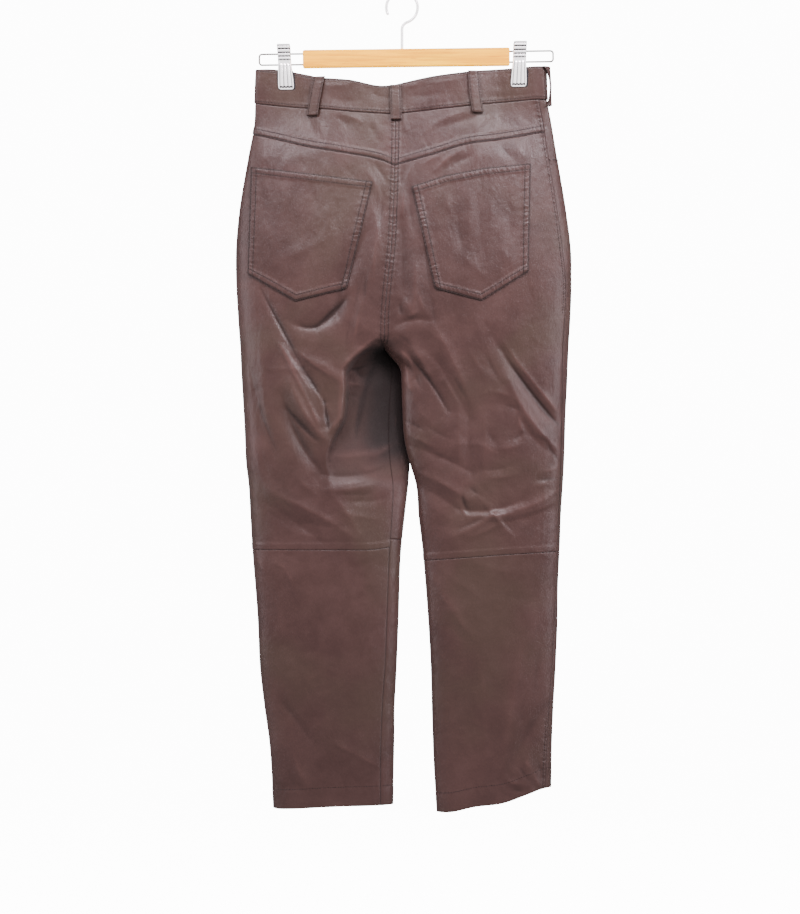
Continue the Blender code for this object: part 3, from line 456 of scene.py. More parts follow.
def skin_and_normals(half, s, z):
    """Points of the skin, with the directions that point out of the garment."""
    s, z = np.broadcast_arrays(s, z)
    reach = STEP / FACE_WIDTH
    across = skin(half, s + reach, z) - skin(half, s - reach, z)
    down = skin(half, s, z - STEP) - skin(half, s, z + STEP)
    normals = np.cross(down, across) * (-1 if half == "left" else 1)
    return skin(half, s, z), unit(normals)


# ---------------------------------------------------------------- fine form of the leather

PUCKER = 0.0058           # from one fine pucker beside a seam to the next
THREAD_RISE = 0.00005     # how far a stitch stands out of the leather
VALLEY = 0.0006           # how deep the leather dips where two pieces are sewn together
VALLEY_REACH = 0.0009
STITCH_SINK = 0.00035     # how deep a row of stitches pulls the leather in
STITCH_REACH = 0.0008
LINE_REACH = 0.0006       # half width of the dark line along an edge or a row
RIPPLE = 0.0105           # from one coarse pucker beside a row to the next
RIPPLE_RISE = 0.00015
RIPPLE_REACH = 0.0055
FULL_FOLD = 0.004         # a fold this high gets the fullest painted shade in its trough and painted highlight on its crest
FULL_CREASE = 0.0015      # and a crease this high
SIDE_ROWS = (-0.416, -0.930)   # a side seam has its rows of stitches above the first and below the second
WIDEST_SEAM = 0.02        # rows of stitches further in than this, as a hem's, don't gather the leather
NEAR_SEAM = (0, 0.0004, 0.0009, 0.0016, 0.0026, 0.0040, 0.0054, 0.0066, 0.0078, 0.0090, 0.0108)
SEAM = 0.00004            # half of the hairline left between two pieces here

# How each kind of edge is finished: how far the folded allowance raises it, how wide that is, the
# distances of its rows of stitches from the edge, and how deep and dark its line is.
EDGES = {
    "plain": (0.0000, 0.0010, (), 0.8),
    "felled": (0.0007, 0.0088, (0.0012, 0.0078), 0.9),
    "mouth": (0.0007, 0.0088, (0.0012, 0.0078), 0.9),
    "single": (0.0003, 0.0045, (0.0032,), 0.7),
    "side": (0.0002, 0.0045, (0.0032,), 0.3),
    "centre": (0.0005, 0.0060, (0.0046,), 0.8),
    "knee": (0.0004, 0.0072, (), 0.3),
    "low": (0.0000, 0.0010, (), 0.35),
    "turned": (0.0003, 0.0030, (0.0018,), 0.6),
    "hem": (0.0003, 0.0255, (0.0250,), 0.15),
    "open": (-0.0001, 0.0010, (), 0.8),
}

# Smaller creases of the back, laid over the main folds.
BACK_CREASES = in_metres(
    # x0, z0, x1, z1, bow, right and left, height
    (-1792, -1135, -1510, -1263, 13, 40, -8),
    (-1792, -1263, -1562, -1340, 13, 40, 8),
    (-1331, -1263, -1152, -1340, -13, 40, -8),
    (-973, -1186, -640, -1161, 26, 50, 8),
    (-922, -1340, -538, -1391, 26, 60, -7),
    (-410, -1263, -205, -1366, 13, 50, -8),
    (26, -1212, 230, -1161, 13, 40, 8),
    (102, -1340, 563, -1289, 13, 50, -7),
    (282, -1161, 768, -1110, 13, 40, 6),
    (1126, -1186, 1408, -1161, 13, 35, -8),
    (1152, -1263, 1434, -1238, 13, 35, 7),
    (1126, -1327, 1459, -1302, 13, 35, -7),
    (1562, -1161, 1818, -1110, 13, 40, -6),
    (1613, -1314, 1805, -1263, 13, 40, 6),
    (-1792, -1519, -1869, -1724, 13, 40, -8),
    (-1715, -1545, -1792, -1775, 13, 50, 8),
    (-1357, -1622, -1280, -1801, 13, 50, 10),
    (-1203, -1596, -1126, -1801, 0, 50, 40, -10),
    (-1075, -1647, -998, -1852, 0, 50, 8),
    (-845, -1596, -640, -1775, -26, 50, 60, -10),
    (-742, -1570, -384, -1801, -38, 60, 13),
    (-512, -1673, -307, -1903, -26, 50, -11),
    (-384, -1596, -256, -1852, 0, 50, 8),
    (0, -1519, 51, -1801, 0, 50, 8),
    (128, -1519, 486, -1468, 13, 50, -8),
    (307, -1775, 870, -1519, -38, 60, 80, 11),
    (486, -1724, 1254, -1519, 0, 60, -10),
    (1050, -1622, 922, -1826, 13, 50, 8),
    (1203, -1570, 1408, -1698, 13, 50, -8),
    (1408, -1494, 1254, -1801, 26, 50, 9),
    (1510, -1519, 1638, -1673, 0, 40, -8),
    (-1741, -2082, -1792, -2210, 0, 40, 8),
    (-1459, -2108, -1510, -2287, 0, 50, 8),
    (-1280, -2134, -1229, -2287, 0, 50, -8),
    (-973, -2210, -922, -2364, 0, 50, 8),
    (-717, -2236, -589, -2415, 0, 50, -8),
    (-461, -2287, -282, -2646, -26, 60, 12),
    (-333, -2236, -179, -2492, -13, 40, -10),
    (51, -2210, 0, -2518, 13, 50, -10),
    (154, -2185, 77, -2441, 13, 50, 10),
    (282, -2210, 486, -2108, -13, 50, 9),
    (435, -2287, 768, -2031, -26, 60, 14),
    (589, -2262, 870, -2108, -13, 50, -12),
    (998, -2006, 947, -2210, 13, 50, 8),
    (1254, -1954, 1408, -2134, 13, 60, -12),
    (1434, -1903, 1562, -2108, 13, 60, 10),
    (1613, -1878, 1690, -2210, 0, 50, -8),
    (-2022, -2774, -2074, -3106, 0, 50, -8),
    (-1984, -2134, -2035, -2646, 0, 60, 8),
    (-1510, -2543, -1485, -2825, 0, 50, 60, 8),
    (-1152, -2518, -1075, -2774, 0, 60, -8),
    (-922, -2722, -947, -3106, 0, 70, 8),
    (-1357, -2902, -1306, -3286, 0, 80, -8),
    (-1613, -3439, -922, -3158, 26, 80, 8),
    (-794, -2697, -845, -3030, 0, 60, -8),
    (-1690, -3030, -1613, -3439, 0, 60, 7),
    (538, -2594, 614, -2850, 0, 60, 9),
    (691, -2825, 768, -3362, 0, 70, -10),
    (870, -2594, 845, -3158, 0, 70, 10),
    (973, -2646, 998, -3286, 0, 70, -8),
    (1152, -2466, 1126, -3030, 0, 60, 8),
    (1331, -2518, 1382, -3158, 0, 80, -7),
    (742, -3362, 1075, -3670, 0, 70, 8),
    (1254, -3286, 1434, -3542, 0, 80, 7),
    (-230, -2594, -282, -3286, 13, 40, -12),
    (-307, -3030, -358, -3746, 13, 40, 12),
    (-435, -3542, -486, -4182, 13, 40, -13),
    (-486, -3926, -589, -4386, 13, 40, 11),
    (-538, -3670, -614, -4156, 0, 40, -10),
    (-640, -4182, -717, -4591, 13, 40, -11),
    (-563, -4207, -640, -4566, 0, 40, 10),
    (26, -2518, 0, -2927, 0, 40, 14),
    (102, -2594, 154, -3106, 13, 40, -12),
    (205, -2799, 282, -3286, 0, 50, 11),
    (282, -3260, 358, -3823, 0, 50, -12),
    (-26, -3977, 26, -4156, 13, 40, -17),
    (51, -4156, 205, -4079, 13, 40, 14),
    (205, -3874, 282, -4079, 0, 40, 13),
    (-51, -4386, 154, -4591, -26, 40, -14),
    (358, -3874, 435, -4310, 0, 50, -11),
    (282, -4310, 538, -4489, 0, 50, 8),
    (-1562, -4489, -1152, -5103, 0, 40, 13),
    (-1485, -4489, -1050, -5257, 0, 35, -14),
    (-1075, -5103, -922, -5462, 0, 40, 14),
    (-986, -5231, -922, -5666, 0, 35, -17),
    (-589, -4822, -486, -4924, 13, 40, -14),
    (-666, -4898, -538, -5026, 0, 40, 12),
    (-742, -5154, -640, -5257, 0, 40, -10),
    (-1997, -4847, -1843, -5231, 13, 50, 10),
    (-1946, -6306, -1869, -6486, 0, 50, 12),
    (-1869, -6230, -1562, -6409, 0, 60, 8),
    (-845, -6306, -410, -6230, 0, 40, 10),
    (-794, -6409, -384, -6409, 0, 40, -10),
    (-1357, -6178, -1101, -6409, 0, 50, 10),
    (-1306, -6742, -717, -6818, 26, 60, -8),
    (-1818, -6562, -1434, -6793, 0, 50, -8),
    (-794, -6639, -230, -6742, 0, 60, 8),
    (-1434, -6870, -922, -6972, 13, 60, 8),
    (-1920, -5718, -1792, -6178, 0, 60, 10),
    (-1792, -5871, -1690, -6230, 0, 50, -8),
    (-461, -6102, -179, -5999, 13, 40, 10),
    (-77, -5718, 51, -5846, 0, 40, 12),
    (-102, -5974, 77, -5922, 0, 40, -10),
    (-77, -6204, 26, -6102, 0, 40, 10),
    (-128, -6486, 0, -6383, 0, 40, -8),
    (-26, -4591, 154, -4898, -26, 40, 17),
    (77, -4719, 230, -5052, -13, 40, -17),
    (26, -4898, 128, -5103, 13, 40, 15),
    (26, -5462, 282, -5590, 0, 40, -13),
    (77, -5641, 435, -5820, 0, 40, 12),
    (154, -5257, 358, -5513, 0, 50, 8),
    (282, -5513, 640, -5718, 13, 50, -10),
    (538, -4950, 717, -5257, 0, 40, 11),
    (640, -4898, 819, -5206, 0, 40, -11),
    (845, -4566, 1075, -4950, 0, 60, 10),
    (1024, -4591, 1254, -5001, 0, 50, -12),
    (1126, -5103, 1408, -5180, -13, 40, 10),
    (1254, -5257, 1510, -5359, -13, 40, -11),
    (1485, -5359, 1536, -5641, 13, 40, 15),
    (1408, -5718, 1536, -5641, 0, 40, -14),
    (1075, -5590, 1203, -5794, 0, 50, -10),
    (973, -5769, 1254, -5922, 0, 50, 8),
    (998, -6102, 1382, -6050, 13, 40, -10),
    (1050, -6204, 1459, -6153, 13, 40, 9),
    (1254, -4591, 1510, -4847, 0, 60, 10),
    (1766, -5103, 1971, -5359, 0, 50, 14),
    (1715, -5231, 1920, -5462, 0, 40, -12),
    (1818, -5718, 2022, -5999, 13, 40, -14),
    (1715, -6230, 1997, -6204, 0, 40, -15),
    (1766, -6127, 2022, -6076, 0, 40, 12),
    (768, -6409, 845, -6639, 13, 35, -19),
    (717, -6537, 819, -6690, 0, 35, 15),
    (845, -6306, 973, -6409, 0, 40, -14),
    (1101, -6562, 1229, -6742, 0, 40, 12),
    (1254, -6716, 1408, -6895, 0, 40, -10),
    (717, -6844, 1075, -6665, 13, 40, -12),
    (870, -6946, 1254, -6767, 13, 40, 10),
    (1254, -6639, 1638, -6588, 13, 40, -10),
    (282, -6486, 614, -6742, 0, 50, 8),
    (358, -6742, 614, -6844, 0, 50, -8),
    (1562, -6639, 1971, -6486, 26, 50, 10),
    (1638, -6844, 1997, -6690, 13, 60, -8),
    (2099, -4950, 2074, -5590, 0, 50, -10),
    (1997, -4694, 2022, -5206, 0, 60, 8),
    (-1664, -7266, -1485, -7356, -13, 35, 12),
    (-1485, -7356, -1382, -7586, -13, 35, 14),
    (-1843, -7202, -1766, -7382, 0, 30, 12),
    (-1792, -7510, -1869, -7766, 0, 40, 10),
    (-1818, -7817, -1741, -8047, 0, 40, 8),
    (-858, -9570, -589, -9711, 0, 35, 12),
    (-589, -9711, -294, -9878, 0, 35, 13),
    (-1549, -9020, -1318, -9314, 0, 50, 40, -12),
    (-1318, -9314, -1139, -9558, 0, 50, 40, -10),
    (-1229, -8713, -998, -9135, 0, 60, 8),
    (-794, -7766, -384, -7510, 13, 80, 8),
    (-666, -7638, -922, -7510, 0, 80, -7),
    (-205, -9174, -128, -9276, 0, 30, 10),
    (-218, -9302, -115, -9353, 0, 30, -10),
    (-205, -9404, -128, -9481, 0, 30, 8),
    (-1382, -9737, -1229, -10121, 0, 60, 10),
    (-1229, -8738, -998, -8687, 13, 50, 8),
    (-1152, -8918, -922, -8892, 0, 50, -7),
    (-1562, -10134, -1306, -10146, 0, 40, -7),
    (474, -7638, 640, -7868, 0, 40, 12),
    (640, -7868, 870, -8201, 0, 50, 9),
    (512, -7394, 1050, -7766, -13, 60, 8),
    (333, -7254, 486, -7510, 0, 50, -8),
    (1574, -9762, 1664, -9916, 13, 40, 15),
    (1485, -9865, 1613, -10044, 0, 40, -15),
    (1344, -10044, 1510, -10095, 13, 40, 15),
    (1382, -10146, 1562, -10198, 0, 40, -14),
    (1664, -9942, 1766, -10146, 0, 40, 14),
    (1715, -9762, 1792, -10018, 0, 40, -12),
    (1254, -10198, 1459, -10300, 0, 40, -8),
    (1613, -10095, 1715, -10274, 0, 40, 10),
    (947, -8278, 1126, -9302, 13, 100, 8),
    (640, -8406, 717, -9558, 0, 100, -7),
    (1766, -8278, 1690, -9046, 13, 80, -10),
    (435, -9046, 614, -9199, 0, 60, 7),
    (870, -7254, 1510, -7407, 26, 80, 8),
    (1203, -7638, 1766, -7766, 26, 80, -7),
)
# The rim of the hollow under the seat, and the wrinkles of the leather that turns in behind it.
BACK_CREASES += in_metres(
    (-314, -4420, -625, -4655, 10, 28, 45, 16),
    (-625, -4655, -752, -4800, 0, 28, 45, 16),
    (-757, -4810, -770, -5120, 0, 28, 45, 14),
    (-770, -5120, -792, -5440, 0, 28, 45, 16),
    (-792, -5440, -968, -5680, 0, 28, 45, 14),
    (-700, -4835, -450, -4760, 13, 28, -18),
    (-1792, -3798, -1254, -4809, 0, 24, -22),
    (-1254, -4809, -986, -5244, 0, 24, -24),
    (-986, -5244, -922, -5577, 0, 24, -20),
    (-1549, -4514, -1165, -5282, 0, 24, 16),
    (-1165, -5282, -1050, -5538, 0, 24, 16),
    (-1357, -4578, -819, -4950, 13, 28, 14),
    (-1088, -4284, -742, -3964, 13, 36, 30, -30),
    (-1306, -4270, -1088, -4284, 13, 28, -18),
    (-1459, -5321, -1088, -5718, 10, 36, 30, -26),
    (-1920, -4860, -1613, -5833, 26, 26, -16),
    (1254, -4560, 1997, -5526, 30, 26, -24),
    (1290, -4470, 2040, -5400, 30, 24, 14),
    (26, -4591, 589, -5359, -38, 26, -20),
    (-690, -4870, -600, -4985, 0, 26, -18),
    (-710, -5000, -530, -5010, 0, 28, 14),
    (-700, -5140, -560, -5165, 0, 28, -10),
    (-410, -4900, -590, -5700, 26, 60, 45, -24),
    (-330, -4700, -435, -4960, 0, 50, -16),
    (-166, -4700, -154, -5740, 10, 22, -14),
    (-13, -5180, -90, -5560, 10, 22, 22),
    (-410, -5920, -154, -5790, 20, 50, 60, 16),
    (10, -4540, 166, -4890, -13, 28, 18),
    (13, -4600, 115, -5050, 10, 30, 16),
)
# Similar creases on the front.
FRONT_CREASES = in_metres(
    (-100, -3000, -350, -4000, 20, 50, -16),
    (200, -3100, 50, -4000, 10, 50, 14),
    (-400, -4100, -1100, -4300, 40, 50, -18),
    (-450, -4300, -1000, -4700, 40, 55, 16),
    (250, -4000, 900, -4150, -40, 50, -18),
    (300, -4300, 1000, -4600, -40, 55, 16),
    (-1600, -5300, -1000, -6000, 20, 60, -14),
    (1700, -5200, 1100, -5900, 20, 60, -14),
    (-1500, -6600, -700, -6500, 30, 50, -18),
    (-1400, -6800, -600, -6750, 30, 50, 16),
    (700, -6600, 1600, -6700, 30, 50, -18),
    (800, -6800, 1500, -6900, 30, 50, 16),
    (-1300, -7400, -900, -8000, 30, 70, 12),
    (1400, -7500, 1000, -8100, 30, 70, 12),
    (-1200, -9000, -700, -9700, 30, 70, -12),
    (1300, -8800, 900, -9600, 30, 70, -12),
    (-600, -2300, -900, -3000, 20, 80, 10),
    (800, -2300, 1100, -3000, 20, 80, 10),
)


def scattered_creases(seed, count, weight):
    """Many faint creases at uneven places, lengths and slants, which old leather keeps from wear."""
    draw = np.random.default_rng(seed)
    rows = []
    for _ in range(count):
        x, z = draw.uniform(-0.20, 0.20), draw.uniform(-1.02, -0.40)
        slant, length = draw.normal(0, 0.8), draw.uniform(0.012, 0.050)
        reach, height = draw.uniform(0.0030, 0.0075), draw.choice((-1, 1)) * draw.uniform(0.3, 1.0)
        rows.append((x, z, x + length * math.cos(slant), z + length * math.sin(slant),
                     draw.normal(0, 0.002), reach, reach, height * weight))
    return tuple(rows)


BACK_FOLDS += BACK_CREASES + scattered_creases(3, 150, 0.00062)
FRONT_FOLDS += FRONT_CREASES + scattered_creases(8, 150, 0.00062)


def stations(length, step):
    """Shares along a length: close together near both ends, where the seams are, and even between."""
    near = np.array(NEAR_SEAM)
    count = max(3, round((length - 2 * near[-1]) / step) + 1)
    middle = np.linspace(near[-1], length - near[-1], count)
    return np.concatenate([near[:-1], middle, length - near[-2::-1]]) / length


def run_length(points, axis):
    """How far each point of a grid lies from the grid's first side, along the cloth."""
    steps = np.linalg.norm(np.diff(points, axis=axis), axis=-1)
    start = np.zeros_like(np.take(steps, [0], axis=axis))
    return np.concatenate([start, np.cumsum(steps, axis=axis)], axis=axis)


def kept(kind, z):
    """1 where an edge's rows of stitches are sewn: a centre's above the crotch, a side's high and low."""
    if kind == "centre":
        return smooth(CROTCH, CROTCH + 0.006, z)
    if kind == "side":
        high, low = SIDE_ROWS
        return np.maximum(smooth(high, high + 0.006, z), smooth(low + 0.006, low, z))
    if kind == "mouth":
        end = LINES["left"]("band", 1.0) - MOUTH_DROP
        return smooth(end - 0.004, end + 0.004, z)
    return np.ones_like(z)


def painted_light_masks(half, points):
    """Masks of painted light: painted highlight above 0 on the crests and painted shade below 0 in the
    troughs of the folds and of the creases, and painted shade in the hollow by how deep it is.
    """
    x, y, z = points[..., 0].ravel(), points[..., 1].ravel(), points[..., 2].ravel()
    at_back = y < 0.004
    # painted highlight on crests and painted shade in troughs, by the height of the folds and of the creases
    high = np.where(at_back, relief(BACK_FOLDS, x, z), relief(FRONT_FOLDS, x, z)) / FULL_FOLD
    line = np.where(at_back, relief(BACK_CREASES, x, z), relief(FRONT_CREASES, x, z)) / FULL_CREASE
    sunk = np.zeros_like(x)
    # painted shade in the hollow under the seat, by its depth, darker across it and clearing towards the
    # front
    if half == "left":
        inside = smooth(0.0, HOLLOW_EDGE / 2, x - HOLLOW("rim", z))
        inside = inside * np.clip(HOLLOW("depth", z) / HOLLOW_FULL, 0, 1)
        sunk = inside * blend(0.45, 1.0, smooth(*HOLLOW_DARKENS, x)) * (1 - smooth(*HOLLOW_FADES, y))
    fields = {"rubbed": np.clip(high, -2, 1), "creased": np.clip(line, -2, 2), "sunk": sunk}
    return {label: values.reshape(points.shape[:2]) for label, values in fields.items()}


def edge_height(kind, distance, run, z):
    """How much one edge's turning, rows of stitches and puckers raise the leather near it."""
    rise, width, rows, line = EDGES[kind]
    sewn = kept(kind, z)
    height = rise * (1 - smooth(width, width + 0.0016, distance)) * sewn
    valley = VALLEY * line * (sewn if kind in ("centre", "mouth") else 1)
    height = height - valley * np.exp(-(distance / VALLEY_REACH) ** 2)
    for row in rows:
        height = height - STITCH_SINK * sewn * np.exp(-((distance - row) / STITCH_REACH) ** 2)
    if rows:
        ripple = np.sin(run * 2 * math.pi / RIPPLE + 2.2 * np.sin(run / 0.019)) * sewn
        height = height + RIPPLE_RISE * ripple * np.exp(-((distance - rows[-1]) / RIPPLE_REACH) ** 2)
    return height


def raised(height, distances, edges, across, down, z):
    """The height of a piece, with what all its edges add to it."""
    for side, kind in edges.items():
        run = down if side in ("start", "end") else across
        height = height + edge_height(kind, distances[side], run, z)
    return height


def groove(distances, edges, z):
    """1 in the cut edges and in the lines pulled down by stitches, 0 on the open leather."""
    deep = 0
    for side, kind in edges.items():
        rows, line = EDGES[kind][2:]
        deep = np.maximum(deep, line * np.exp(-(distances[side] / LINE_REACH) ** 2))
        dark = min(0.8, 1.1 * line) * kept(kind, z)
        for row in rows:
            deep = np.maximum(deep, dark * np.exp(-((distances[side] - row) / LINE_REACH) ** 2))
    return deep


rails = {}


def keep_rails(group, outer, normals, distances, edges):
    """Notes the line of each row of stitches on a piece, with the directions out of the leather."""
    for side, kind in edges.items():
        along = distances[side] if side in ("start", "end") else distances[side].T
        order = slice(None, None, -1) if side in ("end", "foot") else slice(None)
        for row in EDGES[kind][2]:
            line = []
            for field in (outer, normals):
                lanes = field if side in ("start", "end") else field.transpose(1, 0, 2)
                line.append(np.array([
                    [np.interp(row, far[order], lane[order, axis]) for axis in range(3)]
                    for far, lane in zip(along, lanes)]))
            sewn = kept(kind, line[0][:, 2]) > 0.5
            if sewn.sum() > 2:
                rails.setdefault(group, []).append([part[sewn] for part in line])


def grid_mesh(name, outer, inner, fields):
    """A closed wall of squares between two grids, with named values kept at its points."""
    high, wide = outer.shape[:2]
    index = np.arange(high * wide).reshape(high, wide)
    a, b, c, d = index[:-1, :-1], index[:-1, 1:], index[1:, 1:], index[1:, :-1]
    front = np.stack([a, b, c, d], axis=-1).reshape(-1, 4)
    back = front[:, ::-1] + high * wide
    rim = np.concatenate([index[0], index[1:-1, -1], index[-1, ::-1], index[-2:0:-1, 0]])
    after = np.roll(rim, -1)
    side = np.stack([after, rim, rim + high * wide, after + high * wide], axis=-1)
    mesh = bpy.data.meshes.new(name)
    points = np.concatenate([outer.reshape(-1, 3), inner.reshape(-1, 3)])
    mesh.from_pydata(points, [], np.concatenate([front, back, side]).tolist())
    for label, values in fields.items():
        layer = mesh.attributes.new(label, "FLOAT", "POINT")
        layer.data.foreach_set("value", np.tile(values.ravel(), 2))
    if wall_is_inside_out(outer, inner):
        mesh.flip_normals()
    mesh.shade_smooth()
    mesh.set_sharp_from_angle(angle=math.radians(60))
    mesh.validate()
    return mesh


def wall_is_inside_out(outer, inner):
    """Whether the outer grid's squares, as they are wound, face the inner grid."""
    middle = (outer.shape[0] // 2, outer.shape[1] // 2)
    here, right = outer[middle], outer[middle[0], middle[1] + 1]
    below = outer[middle[0] + 1, middle[1]]
    return np.cross(right - here, below - here) @ (here - inner[middle]) < 0


def add_piece(name, mesh, finish, slot, *nodes):
    """Links a finished piece, fixes it to the body and puts it in the place of its plain solids."""
    piece = bpy.data.objects.new(name, mesh)
    mesh.materials.append(finish)
    bpy.context.scene.collection.objects.link(piece)
    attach(piece, BODY_NAME)
    if nodes:
        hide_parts(*nodes)
    return piece


def sheet_of(piece, outer):
    """Works out the widest and longest run of a piece over the smoothed cloth, and the cross products of its
    squares' sides, but keeps none of them.
    """
    width = float(run_length(outer, 1)[:, -1].max())
    length = float(run_length(outer, 0)[-1].max())
    across = np.cross(outer[:-1, 1:] - outer[:-1, :-1], outer[1:, :-1] - outer[:-1, :-1])


def from_sides(across, down):
    """How far each point of a piece lies from each of its sides, along the cloth."""
    return {"start": across, "end": across[:, -1:] - across, "top": down, "foot": down[-1:] - down}


def sew(node, group, faces, cut, normals, distances, edges, fields):
    """Makes a piece from its outer and inner faces, notes its rows of stitches and works out its cut, which
    is not kept.
    """
    keep_rails(group, faces[0], normals, distances, edges)
    fields["seam_line"] = groove(distances, edges, cut[..., 2])
    mesh = grid_mesh("leather_" + node, *faces, fields)
    sheet_of(add_piece("leather_" + node, mesh, leather_finish(), "leather", node), cut)


def leather_piece(node, half, s, z, edges, group, proud=0.0, wall=LEATHER, gather=None):
    """One sewn piece of leather over the garment's form. Its seams pucker it as far as their rows of
    stitches reach, or between the two distances of gather."""
    points, normals = skin_and_normals(half, s, z)
    across, down = run_length(points, 1), run_length(points, 0)
    distances = from_sides(across, down)
    height = raised(np.full(across.shape, proud), distances, edges, across, down, z)
    band, pucker = np.zeros(across.shape), np.zeros(across.shape)
    for side, kind in edges.items():
        run = down if side in ("start", "end") else across
        last_row = max(EDGES[kind][2], default=0)
        if gather:
            near = 1 - smooth(*gather, distances[side])
        elif 0 < last_row < WIDEST_SEAM:
            near = 1 - smooth(last_row * 0.75, last_row * 1.25 + 0.002, distances[side])
            near = near * kept(kind, z)
        else:
            continue
        pucker = np.where(near > band, run, pucker)
        band = np.maximum(band, near)
    faces = points + normals * height[..., None], points + normals * (proud - wall)
    fields = {"seam_band": band, "seam_run": pucker, **painted_light_masks(half, points)}
    sew(node, group, faces, points, normals, distances, edges, fields)


# ---------------------------------------------------------------- pieces of the garment

BAND_SIDE = 1.05          # where round each half the back band meets the front band
BAND_DEPTH = 0.042        # about how deep the waistband is
BAND_WIDTH = 0.19         # about how wide it is round one face of a half
BAND_FAT = 0.0007         # how far its padding stands out
CLOTH_STEP = {"back": 0.0019, "back_lower": 0.0027, "front": 0.0034}
PATCH_STEP = 0.0021
PATCH_GATHER = (0.0065, 0.0105)
EDGE_SHARE = SEAM / FACE_WIDTH             # half of the hairline, as a share of the way round


def line_between(half, upper, lower, s, share):
    """The height at a share of the way down from one seam to the next."""
    lines = LINES[half]
    return blend(lines(upper, s) - SEAM, lines(lower, s) + SEAM, share)


def panel_stations(half, face, upper, lower, step):
    """Places across and down a panel, close together where it is sewn."""
    start = 0 if face == "back" else 1
    middle_z = float(line_between(half, upper, lower, start + 0.5, 0.5))
    s = start + np.linspace(0, 1, 60)
    width = run_length(skin(half, s, np.full(60, middle_z))[None], 1)[0, -1]
    length = float(LINES[half](upper, start + 0.5) - LINES[half](lower, start + 0.5))
    share = stations(width, step)
    return start + EDGE_SHARE + share * (1 - 2 * EDGE_SHARE), stations(length, step)[:, None]


def make_back_panel(half, node, upper, lower, edges):
    """A panel of the back, between two of its seams."""
    s, share = panel_stations(half, "back", upper, lower, CLOTH_STEP.get(node, CLOTH_STEP["back"]))
    z = line_between(half, upper, lower, s, share)
    leather_piece(f"{node}_{half}", half, np.broadcast_to(s, z.shape), z, edges, "back")


def mouth_share(half, side_z):
    """How far in from the side seam the front pocket's mouth lies, against the height at that seam."""
    fallen = (LINES[half]("band", 1.0) - SEAM - side_z) / MOUTH_DROP
    return MOUTH_REACH * np.sqrt(np.clip(1 - fallen ** 2, 0, 1))


def front_grid(half, start, end, step, mouth_only=False):
    """Places over the front, whose rows run level from the side seam to the middle. They crowd
    where the pocket's mouth curves into the side seam."""
    lines = LINES[half]
    top, knee = lines("band", 1.0) - SEAM, lines("knee", 1.0) + SEAM
    mouth_z = top - MOUTH_DROP * np.sin(np.linspace(0, math.pi / 2, 48))
    side_z = mouth_z[:-1] if mouth_only else np.concatenate(
        [mouth_z, blend(mouth_z[-1], knee, stations(mouth_z[-1] - knee, step)[1:])])
    side_z = side_z[:, None]
    fallen = (top - side_z) / (top - knee)
    first, last = start(side_z), end(side_z)
    s = blend(first, last, stations(FACE_WIDTH, step))
    rise = KNEE_STEP * np.clip(s - 1, 0, 1) * fallen ** 6
    return s, blend(lines("band", s) - SEAM, lines("knee", s) + SEAM, fallen) + rise


def make_front_upper(half):
    """The front thigh panel, cut away along the pocket's mouth."""
    def start(side_z):
        return 1 + EDGE_SHARE + mouth_share(half, side_z)

    s, z = front_grid(half, start, lambda side_z: 2 - EDGE_SHARE, CLOTH_STEP["front"])
    edges = {"start": "mouth", "end": "centre", "top": "plain", "foot": "plain"}
    leather_piece(f"front_upper_{half}", half, s, z, edges, "front")


def make_pocket_side(half):
    """The piece seen inside the front pocket's mouth, from the side seam to behind the mouth."""
    def end(side_z):
        return 1 - EDGE_SHARE + np.maximum(mouth_share(half, side_z), 3 * EDGE_SHARE)

    s, z = front_grid(half, lambda side_z: 1 + EDGE_SHARE, end, CLOTH_STEP["front"], mouth_only=True)
    edges = {"start": "plain", "end": "open", "top": "plain", "foot": "plain"}
    leather_piece(f"pocket_side_{half}", half, s, z, edges, "front", proud=-0.0003)


def make_front_lower(half):
    """The front lower leg, whose top rises towards the inseam."""
    s, share = panel_stations(half, "front", "knee", "hem", CLOTH_STEP["front"])
    z = line_between(half, "knee", "hem", s, share) + KNEE_STEP * np.clip(s - 1, 0, 1) * (1 - share)
    edges = {"start": "plain", "end": "plain", "top": "low", "foot": "hem"}
    leather_piece(f"front_lower_{half}", half, np.broadcast_to(s, z.shape), z, edges, "front")


def band_grid(half, s):
    """Points and directions of a length of waistband, from its top edge to its seam."""
    share = stations(BAND_DEPTH, 0.0025)[:, None]
    z = blend(LINES[half]("top", s), LINES[half]("band", s) + SEAM, share)
    return skin_and_normals(half, np.broadcast_to(s, z.shape), z)


def make_waistband_back():
    """The back band, in one length from side seam to side seam."""
    across = stations(BAND_WIDTH, CLOTH_STEP["back"])
    left, right = band_grid("left", BAND_SIDE * (1 - across)), band_grid("right", BAND_SIDE * across)
    grid = [np.concatenate([first, second[:, 1:]], axis=1) for first, second in zip(left, right)]
    band_piece("waistband_back", *grid)


def make_waistband_front(half):
    """A front length of the band, from the side to where it is buttoned."""
    s = blend(BAND_SIDE + EDGE_SHARE, 2 - EDGE_SHARE, stations(BAND_WIDTH, CLOTH_STEP["front"]))
    band_piece(f"waistband_front_{half}", *band_grid(half, s))


def band_piece(node, points, normals):
    """A length of waistband, padded between its two rows of stitches."""
    across, down = run_length(points, 1), run_length(points, 0)
    distances = from_sides(across, down)
    edges = {"start": "plain", "end": "plain", "top": "turned", "foot": "single"}
    padding = BAND_FAT * np.sin(math.pi * np.clip(down / down[-1:], 0, 1)) ** 0.6
    height = raised(BAND_PROUD + padding, distances, edges, across, down, points[..., 2])
    faces = points + normals * height[..., None], points + normals * (BAND_PROUD - BAND)
    fields = {"seam_band": np.exp(-(distances["foot"] / 0.006) ** 2), "seam_run": across}
    sew(node, "band", faces, points, normals, distances, edges, fields)


def s_on_face(half, x, z, side):
    """Where on a half the place at x and z lies, on its back (side -1) or its front (side 1)."""
    s = np.full(x.shape, 0.5 if side < 0 else 1.5)
    turn = (-1 if half == "left" else 1) * (1 if side < 0 else -1)
    for _ in range(14):
        s = s + np.clip((x - skin(half, s, z)[..., 0]) / (FACE_WIDTH * turn), -0.1, 0.1)
    return s


